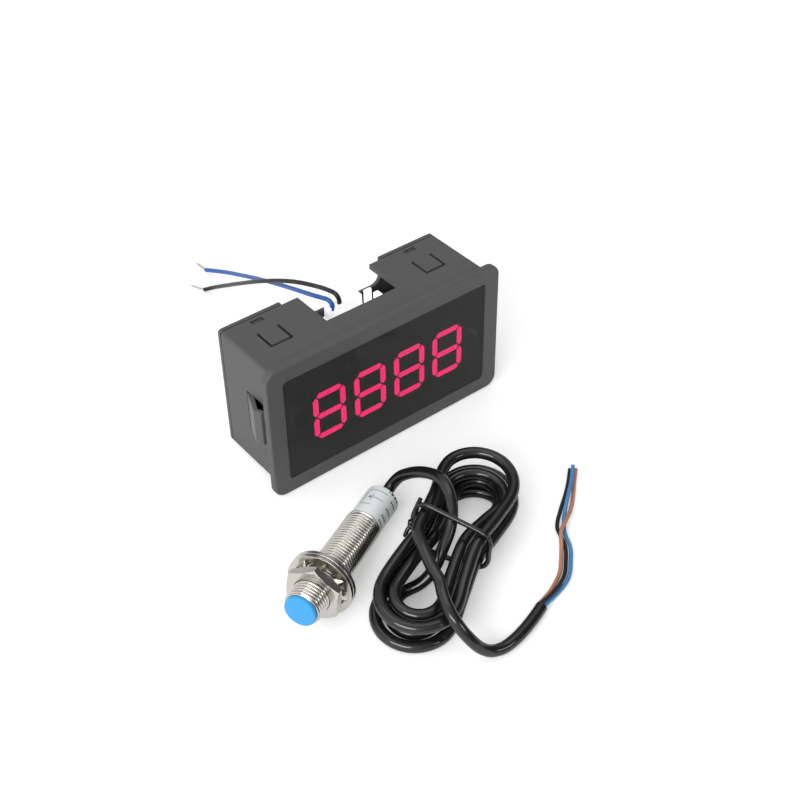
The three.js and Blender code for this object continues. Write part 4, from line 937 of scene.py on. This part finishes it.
class TACHOMETER_OT_sensor_cable(bpy.types.Operator):
    """Lay the sensor cable from its gland through the hank to its bared cores"""

    bl_idname = "tachometer.sensor_cable"
    bl_label = "Sensor cable"

    def execute(self, context):
        sizes, colours = settings(context)
        jacket = jacket_material(colours)
        insulation = {"brown": colours.brown, "blue": colours.blue_core, "black": colours.jacket}
        pieces = []
        for colour, tint in insulation.items():
            finish = plastic(f"{colour}_core_insulation", tint, 0.36, tone=0.2, bump=0.15)
            pieces += self.bared_core(colour, finish, sizes.core_diameter)
        pieces.append(self.twist_tie(sizes.tie_diameter, jacket))
        path = catmull_rom(cable_route(), ROUTE_STEP)
        cable = swept_tube("sensor_cable", path, sizes.cable_diameter, CABLE_SIDES, jacket,
                           end_recess=JACKET_RECESS)
        dress(cable, METER_BODY, "cable_jacket",
              "sensor_cable_lead", "sensor_cable_hank", "sensor_cable_tail")
        return {"FINISHED"}

    def bared_core(self, colour, finish, diameter):
        """An insulated core with its copper just showing at the end."""
        path = routed(CORES[colour])
        # The core starts inside the jacket's cut end
        path.insert(0, path[0] - (path[1] - path[0]).normalized() * CORE_INSERT)
        core = swept_tube(f"cable_core_{colour}", path, diameter, WIRE_SIDES, finish, end_recess=CORE_RECESS)
        onward = (path[-1] - path[-2]).normalized()
        strands = swept_tube(f"core_strands_{colour}",
                             [path[-1] - onward * STRANDS_INSIDE, path[-1] + onward * STRANDS_OUTSIDE],
                             diameter * CORE_STRANDS_SHARE, THIN_SIDES, metal("bare_copper", COPPER, 0.3),
                             round_ends=True)
        return [dress(core, METER_BODY, f"wire_{colour}", f"core_{colour}"),
                dress(strands, METER_BODY, f"wire_{colour}")]

    def twist_tie(self, diameter, material):
        parts = [swept_tube("tie_turn", routed(TIE_TURN, TIE_STEP, on_hank), diameter, THIN_SIDES, material)]
        # Two strands wound round each other make the knot, then part into the loose ends
        knot = on_hank(TIE_KNOT)
        x, y, z = TIE_KNOT
        side = (on_hank((x, y, z + 1)) - knot).normalized()
        out = (on_hank((x, y + 1, z)) - knot).normalized()
        along = side.cross(out)
        for number, end in enumerate((TIE_END_HIGH, TIE_END_LOW)):
            wound = []
            for step in range(KNOT_POINTS):
                share = step / (KNOT_POINTS - 1)
                angle = math.pi * number + share * KNOT_TURNS * FULL_TURN
                centre = knot + side * (0.5 - share) * (KNOT_LENGTH if number else -KNOT_LENGTH)
                wound.append(centre + (out * math.cos(angle) + along * math.sin(angle)) * KNOT_RADIUS
                             + out * KNOT_SHIFT)
            for name, strand in (("tie_twist", catmull_rom(wound, KNOT_STEP)),
                                 ("tie_end", routed(end, LOOSE_STEP, on_hank))):
                parts.append(swept_tube(name, strand, diameter * TIE_STRAND_SHARE, THIN_SIDES, material,
                                        round_ends=True))
        return dress(join_pieces("twist_tie", parts), METER_BODY, "cable_jacket", "cable_tie")


class TACHOMETER_OT_power_lead(bpy.types.Operator):
    """Run the two power wires from the plug to their tinned ends"""

    bl_idname = "tachometer.power_lead"
    bl_label = "Power lead"

    def execute(self, context):
        sizes, colours = settings(context)
        tinned = metal("tinned_strands", TINNED_WIRE, 0.32)
        for colour, tint, route in (("blue", colours.blue, WIRE_BLUE), ("black", colours.jacket, WIRE_BLACK)):
            path = routed(route)
            finish = plastic(f"{colour}_wire_insulation", tint, 0.34, tone=0.18, bump=0.12)
            wire = swept_tube(f"power_lead_{colour}", path, sizes.wire_diameter, WIRE_SIDES, finish)
            dress(wire, PLUG_BODY, f"wire_{colour}", f"power_wire_{colour}")
            tip = self.stranded_tip(colour, path, tinned)
        return {"FINISHED"}

    def stranded_tip(self, colour, path, material):
        """Six twisted strands round a seventh, tinned together, level from the wire's end."""
        end = path[-1]
        along = end - path[-2]
        along.z = 0.0
        along.normalize()
        side = along.cross(UP).normalized()
        strands = []
        for number in range(STRAND_COUNT + 1):
            points = []
            for step in range(STRAND_POINTS):
                share = step / (STRAND_POINTS - 1)
                reach = 0.0 if number == STRAND_COUNT else STRAND_DIAMETER * (1 - STRAND_TAPER * share)
                angle = (number / STRAND_COUNT + share * STRAND_TURNS) * FULL_TURN
                points.append(end + along * (TIP_LENGTH * share - TIP_INSIDE) * MM
                              + (side * math.cos(angle) + UP * math.sin(angle)) * reach)
            strands.append(swept_tube("strand", points, STRAND_DIAMETER, STRAND_SIDES, material,
                                      round_ends=True))
        tip = join_pieces(f"power_lead_tip_{colour}", strands)
        return dress(tip, PLUG_BODY, "tinned_brass", f"power_wire_tip_{colour}")


class TACHOMETER_OT_case(bpy.types.Operator):
    """Round and grain the moulded case, its cover, clips and tongues"""

    bl_idname = "tachometer.case"
    bl_label = "Case"

    def execute(self, context):
        sizes, colours = settings(context)
        moulded = plastic("moulded_case", colours.housing, 0.48, tone=0.1, grain=5200.0, bump=0.45,
                          spread=0.08, specular=0.42)
        # The clips' faces are painted paler than the case, a painted sheen for their highlights, and are
        # glossier
        clip_sheen_finish = plastic("clip_painted_sheen", [share * CLIP_SHEEN for share in colours.housing], 0.34, tone=0.1,
                          grain=3200.0, bump=0.2, spread=0.08, specular=0.6)
        radius = sizes.edge_radius
        softened_copy("front_housing", "case_front", METER_BODY, CASE_SLOT, moulded, radius)
        softened_copy("rear_cover", "case_rear_cover", METER_BODY, CASE_SLOT, moulded, radius)
        for side in ("left", "right"):
            softened_copy(f"panel_clip_{side}", f"case_panel_clip_{side}", f"{side}_clip", CASE_SLOT, clip_sheen_finish,
                          radius * CLIP_EDGE_SHARE)
            for level in ("top", "bottom"):
                softened_copy(f"{level}_tongue_{side}", f"case_{level}_tongue_{side}",
                              f"tongue_{level}_{side}", CASE_SLOT, moulded, radius * TONGUE_EDGE_SHARE)
        self.tongue_roots(moulded)
        return {"FINISHED"}

    def tongue_roots(self, material):
        """Living hinges: a thin skin joins each tongue's root to the wall behind it."""
        section = ((ROOT_FRONT, ROOT_INNER), (ROOT_FRONT + ROOT_SLOPE, ROOT_OUTER),
                   (ROOT_BACK - ROOT_SLOPE, ROOT_OUTER), (ROOT_BACK, ROOT_INNER))
        block = ((0, 2, 3, 1), (2, 4, 5, 3), (4, 6, 7, 5), (6, 0, 1, 7), (0, 6, 4, 2), (1, 3, 5, 7))
        points, faces = [], []
        for side in (-1, 1):
            for level in (-1, 1):
                first = len(points)
                for y, z in section:
                    for x in (-ROOT_HALF_WIDTH, ROOT_HALF_WIDTH):
                        points.append(on_meter((side * TONGUE_PLACE + x, y, level * z)))
                faces.extend(tuple(first + index for index in face) for face in block)
        skins = mesh_object("case_tongue_roots", points, faces, material)
        mend(skins.data)
        dress(skins, METER_BODY, CASE_SLOT)


class TACHOMETER_OT_display(bpy.types.Operator):
    """Smoke the lens and light the four figures behind it"""

    bl_idname = "tachometer.display"
    bl_label = "Display"

    def execute(self, context):
        sizes, colours = settings(context)
        softened_copy("smoked_lens", "lens_pane", METER_BODY, "smoked_acrylic",
                      smoked_glass("smoked_acrylic_sheet", colours.lens), sizes.edge_radius * LENS_EDGE_SHARE)
        keep_node("display_block",
                  plastic("display_body", colours.display, 0.7, tone=0.2, bump=0.05, specular=0.1))
        resin = lit_resin("lit_figure_resin", colours.figures, FIGURE_STRENGTH)
        for number in range(1, 5):
            keep_node(f"digit_{number}", resin)
        return {"FINISHED"}


class TACHOMETER_OT_electronics(bpy.types.Operator):
    """Finish the boards, their parts and the connectors"""

    bl_idname = "tachometer.electronics"
    bl_label = "Electronics"

    def execute(self, context):
        sizes, colours = settings(context)
        board = circuit_board("solder_mask", colours.board)
        keep_node("main_board", board)
        keep_node("hall_board", board)
        epoxy = plastic("moulded_epoxy", EPOXY, 0.5, tone=0.2, bump=0.4)
        for node in ("microcontroller", "voltage_regulator", "hall_chip"):
            keep_node(node, epoxy)
        keep_node("input_capacitor", metal("drawn_can", DRAWN_CAN, 0.3))
        # The connectors' glow is painted light that lifts their shaded faces
        nylon = plastic("natural_nylon_painted_glow", colours.nylon, 0.42, tone=0.05, grain=3000.0, bump=0.03, spread=0.1,
                        glow=0.45)
        # The plug's walls are the thinnest, so its edges are the sharpest
        for node, body, share in (("power_header", METER_BODY, HEADER_EDGE_SHARE),
                                  ("sensor_header", METER_BODY, HEADER_EDGE_SHARE),
                                  ("power_plug", PLUG_BODY, PLUG_EDGE_SHARE)):
            softened_copy(node, f"moulded_{node}", body, "nylon_white", nylon, sizes.edge_radius * share)
        tinned = metal("tinned_pins", TINNED_PIN, 0.28)
        for number in range(1, 7):
            keep_node(f"header_pin_{number}", tinned)
        return {"FINISHED"}


def sensor_frame():
    """The matrix from the sensor's own drawing, face to cable along +Y, to the object's frame."""
    outer, plain_back = SENSOR_PROP
    tilt = math.atan((outer - SENSOR_LABEL_RADIUS) / (SENSOR_LENGTH - plain_back))
    axis = Vector((math.cos(SENSOR_BEARING) * math.cos(tilt), math.sin(SENSOR_BEARING) * math.cos(tilt),
                   -math.sin(tilt)))
    side = Vector((math.sin(SENSOR_BEARING), -math.cos(SENSOR_BEARING), 0))
    above = side.cross(axis)
    rear = bench((*SENSOR_REAR, SENSOR_LABEL_RADIUS * math.cos(tilt)))
    turn = Matrix((side, axis, above)).transposed().to_4x4()
    return Matrix.Translation(rear - axis * SENSOR_LENGTH * MM) @ turn


SENSOR_FRAME = sensor_frame()


def on_sensor(radius, turn, y):
    """A point of the sensor's own drawing, in millimetres, in the object's frame."""
    return SENSOR_FRAME @ (Vector((radius * math.cos(turn), y, radius * math.sin(turn))) * MM)


def lathe(name, profile, material, closed=True):
    """A profile of (radius, y) pairs in millimetres turned about the sensor's axis."""
    points = [on_sensor(radius, FULL_TURN * step / SENSOR_SIDES, y)
              for step in range(SENSOR_SIDES) for radius, y in profile]
    count = len(profile)
    faces = []
    for step in range(SENSOR_SIDES):
        low, high = step * count, ((step + 1) % SENSOR_SIDES) * count
        for index in range(count if closed else count - 1):
            other = (index + 1) % count
            faces.append((low + index, low + other, high + other, high + index))
    piece = mesh_object(name, points, faces, material)
    mend(piece.data, LATHE_MERGE)
    smooth_shading(piece.data, LATHE_SMOOTH)
    return piece


class TACHOMETER_OT_sensor(bpy.types.Operator):
    """Cut the barrel's thread and dress its cap, label and gland"""

    bl_idname = "tachometer.sensor"
    bl_label = "Sensor"

    def execute(self, context):
        sizes, colours = settings(context)
        barrel = self.threaded_barrel(sizes.thread_pitch / MM, sizes.thread_depth / MM,
                                      nickel_plating(colours))
        dress(barrel, METER_BODY, "nickel_plate", "sensor_barrel")
        blue = plastic("blue_sensing_cap", colours.cap, 0.42, tone=0.08, grain=1800.0, bump=0.12, spread=0.12)
        dress(lathe("sensor_face_cap", CAP_PROFILE, blue), METER_BODY, "cap_blue", "sensing_face_cap")
        gland = lathe("sensor_rear_gland", GLAND_PROFILE, jacket_material(colours))
        dress(gland, METER_BODY, "cable_jacket", "rear_plug")
        self.printed_label(colours)
        return {"FINISHED"}

    def threaded_barrel(self, pitch, depth, material):
        """A helical thread, and the plain ends and bore that run from its last ring round to its first."""
        seat = SENSOR_LENGTH - SENSOR_SEAT_LENGTH
        runout = seat - BAND_LENGTH
        root = BARREL_RADIUS - depth
        form = ((0.0, depth), (ROOT_END_SHARE, depth), (CREST_START_SHARE, CREST_EDGE), (CREST_SHARE, 0.0),
                (CREST_END_SHARE, CREST_EDGE))
        points = []
        for turn in range(-1, int((seat - THREAD_START) / pitch) + 1):
            for share, cut in form:
                for step in range(SENSOR_SIDES + 1):
                    y = THREAD_START + (turn + share) * pitch + pitch * step / SENSOR_SIDES
                    size = BARREL_RADIUS - cut if THREAD_START < y < runout else root
                    points.append(on_sensor(size, -FULL_TURN * step / SENSOR_SIDES,
                                            min(max(y, THREAD_START), runout)))
        line = SENSOR_SIDES + 1
        faces = [(low + step, low + step + 1, low + line + step + 1, low + line + step)
                 for low in range(0, len(points) - line, line) for step in range(SENSOR_SIDES)]
        thread = mesh_object("barrel_thread", points, faces, material)
        ends = lathe("barrel_ends", [
            (root, runout), (root, runout + SEAT_EDGE),
            *((BARREL_RADIUS - drop, seat - before) for drop, before in BAND_PROFILE),
            (SENSOR_SEAT_RADIUS, seat), (SENSOR_SEAT_RADIUS, SENSOR_LENGTH - SEAT_EDGE),
            (SENSOR_SEAT_RADIUS - SEAT_EDGE, SENSOR_LENGTH), (BARREL_BORE, SENSOR_LENGTH),
            (BARREL_BORE, BORE_EDGE), (BARREL_BORE + BORE_EDGE, 0.0), (root - FACE_EDGE, 0.0),
            (root, FACE_EDGE), (root, THREAD_START)], material, closed=False)
        barrel = join_pieces("threaded_barrel", [thread, ends])
        mend(barrel.data, BARREL_MERGE)
        smooth_shading(barrel.data, TUBE_SMOOTH)
        return barrel

    def printed_label(self, colours):
        """A clear-coated film, printed with plain dashes, a broken ring and a bare wiring sketch."""
        film = plastic("label_film_base", colours.label, 0.3, tone=0.05, grain=900.0, bump=0.05, spread=0.1,
                       coat=0.6)
        ink = plastic("label_ink", DARK_INK, 0.4, tone=0.2, bump=0.05, coat=0.6)
        grey = plastic("label_grey_ink", GREY_INK, 0.4, tone=0.1, bump=0.05, coat=0.6)
        low = SENSOR_LENGTH - LABEL_LENGTH
        points, faces, finishes = [], [], []

        def add_ring(radius, y):
            points.extend(on_sensor(radius, FULL_TURN * column / LABEL_COLUMNS, y)
                          for column in range(LABEL_COLUMNS))

        def join_rings(start, end, y=None):
            for column in range(LABEL_COLUMNS):
                other = (column + 1) % LABEL_COLUMNS
                faces.append((start + column, end + column, end + other, start + other))
                finishes.append(BARE if y is None else self.print_at(column / LABEL_COLUMNS * 360, y))

        for row in range(LABEL_ROWS + 1):
            y = LABEL_LENGTH * row / LABEL_ROWS
            drop = LABEL_EDGE_DROP * (1 - eased(min(y, LABEL_LENGTH - y) / LABEL_EDGE_LENGTH))
            add_ring(SENSOR_LABEL_RADIUS - drop, low + y)
        for row in range(LABEL_ROWS):
            middle = LABEL_LENGTH * (row + 0.5) / LABEL_ROWS
            join_rings(row * LABEL_COLUMNS, (row + 1) * LABEL_COLUMNS, middle)
        # The film's inner side, from its last edge back to its first
        back, front = len(points), len(points) + LABEL_COLUMNS
        add_ring(SENSOR_SEAT_RADIUS + LABEL_GAP, SENSOR_LENGTH)
        add_ring(SENSOR_SEAT_RADIUS + LABEL_GAP, low)
        for start, end in ((LABEL_ROWS * LABEL_COLUMNS, back), (back, front), (front, 0)):
            join_rings(start, end)
        label = mesh_object("printed_label", points, faces, film)
        label.data.materials.append(ink)
        label.data.materials.append(grey)
        label.data.polygons.foreach_set("material_index", finishes)
        dress(label, METER_BODY, "label_film", "label_sleeve")

    def print_at(self, angle, y):
        """Bare film, dark ink or grey ink."""
        # Plain dashes in four short rows, and a broken dark ring near the cable end
        for low, high in DASH_ROWS:
            if low < y < high and DASHES_FROM < angle < DASHES_TO:
                if (angle - DASHES_FROM) % DASH_PITCH < DASH_WIDTH:
                    return DARK
        if y > RING_PLACE and (angle > RING_FROM or angle < RING_TO) and angle % RING_PITCH < RING_DASH:
            return DARK
        # A wiring sketch of grey lines and one dark dot
        if not SKETCH_FROM < angle < SKETCH_TO:
            return BARE
        on_rim = min(abs(y - SKETCH_LOW), abs(y - SKETCH_HIGH)) < LINE_HALF_LENGTH
        on_side = abs(angle - SKETCH_SIDE) < LINE_HALF_ANGLE and SKETCH_LOW < y < SKETCH_HIGH
        on_lead = abs(y - SKETCH_MIDDLE) < LINE_HALF_LENGTH and angle < SKETCH_BAR
        on_bar = abs(angle - SKETCH_BAR) < LINE_HALF_ANGLE and abs(y - SKETCH_MIDDLE) < SKETCH_BAR_REACH
        if (on_rim and (angle > SKETCH_CORNER or y > SKETCH_SPLIT)) or on_side or on_lead or on_bar:
            return GREY
        across, along = (angle - DOT_ANGLE) / DOT_HALF_ANGLE, (y - SKETCH_MIDDLE) / DOT_HALF_LENGTH
        return DARK if across ** 2 + along ** 2 < 1 else BARE


class TACHOMETER_OT_fasteners(bpy.types.Operator):
    """Finish the lock nut and the two washers"""

    bl_idname = "tachometer.fasteners"
    bl_label = "Nut and washers"

    def execute(self, context):
        nickel = nickel_plating(context.scene.tachometer_colours)
        for node, body, radius in (("lock_nut", "nut", NUT_EDGE),
                                   ("toothed_washer", "washers", TOOTHED_WASHER_EDGE),
                                   ("plain_washer", "washers", PLAIN_WASHER_EDGE)):
            softened_copy(node, f"plated_{node}", body, "nickel_plate", nickel, radius)
        return {"FINISHED"}


class TACHOMETER_OT_stage(bpy.types.Operator):
    """Set the pale floor, the white surroundings and the soft lamps"""

    bl_idname = "tachometer.stage"
    bl_label = "Stage"

    def execute(self, context):
        scene = context.scene
        scene.view_settings.view_transform = "Standard"
        self.floor()
        self.surroundings(scene)
        middle = bench(METER_MIDDLE)
        for name, place, extent, power in LAMPS:
            data = bpy.data.lights.new(name, "AREA")
            data.shape = "RECTANGLE"
            data.size, data.size_y = extent
            data.energy = power
            lamp = bpy.data.objects.new(name, data)
            scene.collection.objects.link(lamp)
            lamp.location = middle + Vector(place)
            lamp.rotation_euler = (middle - lamp.location).to_track_quat("-Z", "Y").to_euler()
        return {"FINISHED"}

    def floor(self):
        corners = ((-1, -1), (1, -1), (1, 1), (-1, 1))
        points = [(x * FLOOR_HALF, y * FLOOR_HALF, -FLOOR_DROP) for x, y in corners]
        material, tree, shader = base_material("pale_floor", (FLOOR_GREY, FLOOR_GREY, FLOOR_GREY))
        shader.inputs["Roughness"].default_value = 0.7
        shader.inputs["Specular IOR Level"].default_value = 0.1
        shader.inputs["Emission Color"].default_value = (1, 1, 1, 1)
        seen = seen_straight(tree, tree.nodes.new("ShaderNodeLightPath"))
        distance = vector_node(tree, "LENGTH", object_coordinates(tree)).outputs["Value"]
        glow = math_node(tree, "MULTIPLY", seen, smooth_step(tree, distance, FADE_FROM, FADE_TO))
        tree.links.new(glow, shader.inputs["Emission Strength"])
        mesh_object("bench_floor", points, [(0, 1, 2, 3)], material)

    def surroundings(self, scene):
        """White where they are seen straight, and shaded where they light the object."""
        world = bpy.data.worlds.new("white_room")
        scene.world = world
        world.use_nodes = True
        tree = world.node_tree
        background = next(node for node in tree.nodes if node.type == "BACKGROUND")
        rays = tree.nodes.new("ShaderNodeLightPath")
        seen = seen_straight(tree, rays)
        patches = math_node(tree, "ADD", self.toward(tree, *CURTAIN), self.toward(tree, *PALE_WALL))
        light = math_node(tree, "MULTIPLY", patches, math_node(tree, "SUBTRACT", 1.0, seen))
        mirrored = math_node(tree, "MULTIPLY_ADD", rays.outputs["Is Glossy Ray"], -MIRROR_SHADE, 1.0)
        strength = math_node(tree, "ADD", seen, math_node(tree, "MULTIPLY", light, mirrored))
        background.inputs["Color"].default_value = (1, 1, 1, 1)
        tree.links.new(strength, background.inputs["Strength"])

    def toward(self, tree, direction, cosines, brightness):
        """A patch of the room whose brightness changes toward a direction."""
        facing = vector_node(tree, "DOT_PRODUCT", tree.nodes.new("ShaderNodeTexCoord").outputs["Generated"])
        facing.inputs[1].default_value = direction
        return smooth_step(tree, facing.outputs["Value"], cosines, brightness)


OPERATORS = (
    TACHOMETER_OT_camera,
    TACHOMETER_OT_sensor_cable,
    TACHOMETER_OT_power_lead,
    TACHOMETER_OT_case,
    TACHOMETER_OT_display,
    TACHOMETER_OT_electronics,
    TACHOMETER_OT_sensor,
    TACHOMETER_OT_fasteners,
    TACHOMETER_OT_stage,
)


class TACHOMETER_PT_looks(bpy.types.Panel):
    """Sizes, colours and the steps that build the looks"""

    bl_idname = "TACHOMETER_PT_looks"
    bl_label = "Digital tachometer"
    bl_space_type = "VIEW_3D"
    bl_region_type = "UI"
    bl_category = "Tachometer"

    def draw(self, context):
        layout = self.layout
        for group in settings(context):
            box = layout.box()
            for name in group.__annotations__:
                box.prop(group, name)
        for operator in OPERATORS:
            layout.operator(operator.bl_idname)


CLASSES = (TachometerSizes, TachometerColours, *OPERATORS, TACHOMETER_PT_looks)


def register():
    for cls in CLASSES:
        bpy.utils.register_class(cls)
    bpy.types.Scene.tachometer_sizes = bpy.props.PointerProperty(type=TachometerSizes)
    bpy.types.Scene.tachometer_colours = bpy.props.PointerProperty(type=TachometerColours)


def unregister():
    del bpy.types.Scene.tachometer_colours
    del bpy.types.Scene.tachometer_sizes
    for cls in reversed(CLASSES):
        bpy.utils.unregister_class(cls)


def main():
    register()
    for operator in OPERATORS:
        family, name = operator.bl_idname.split(".")
        getattr(getattr(bpy.ops, family), name)()


if __name__ == "__main__":
    main()
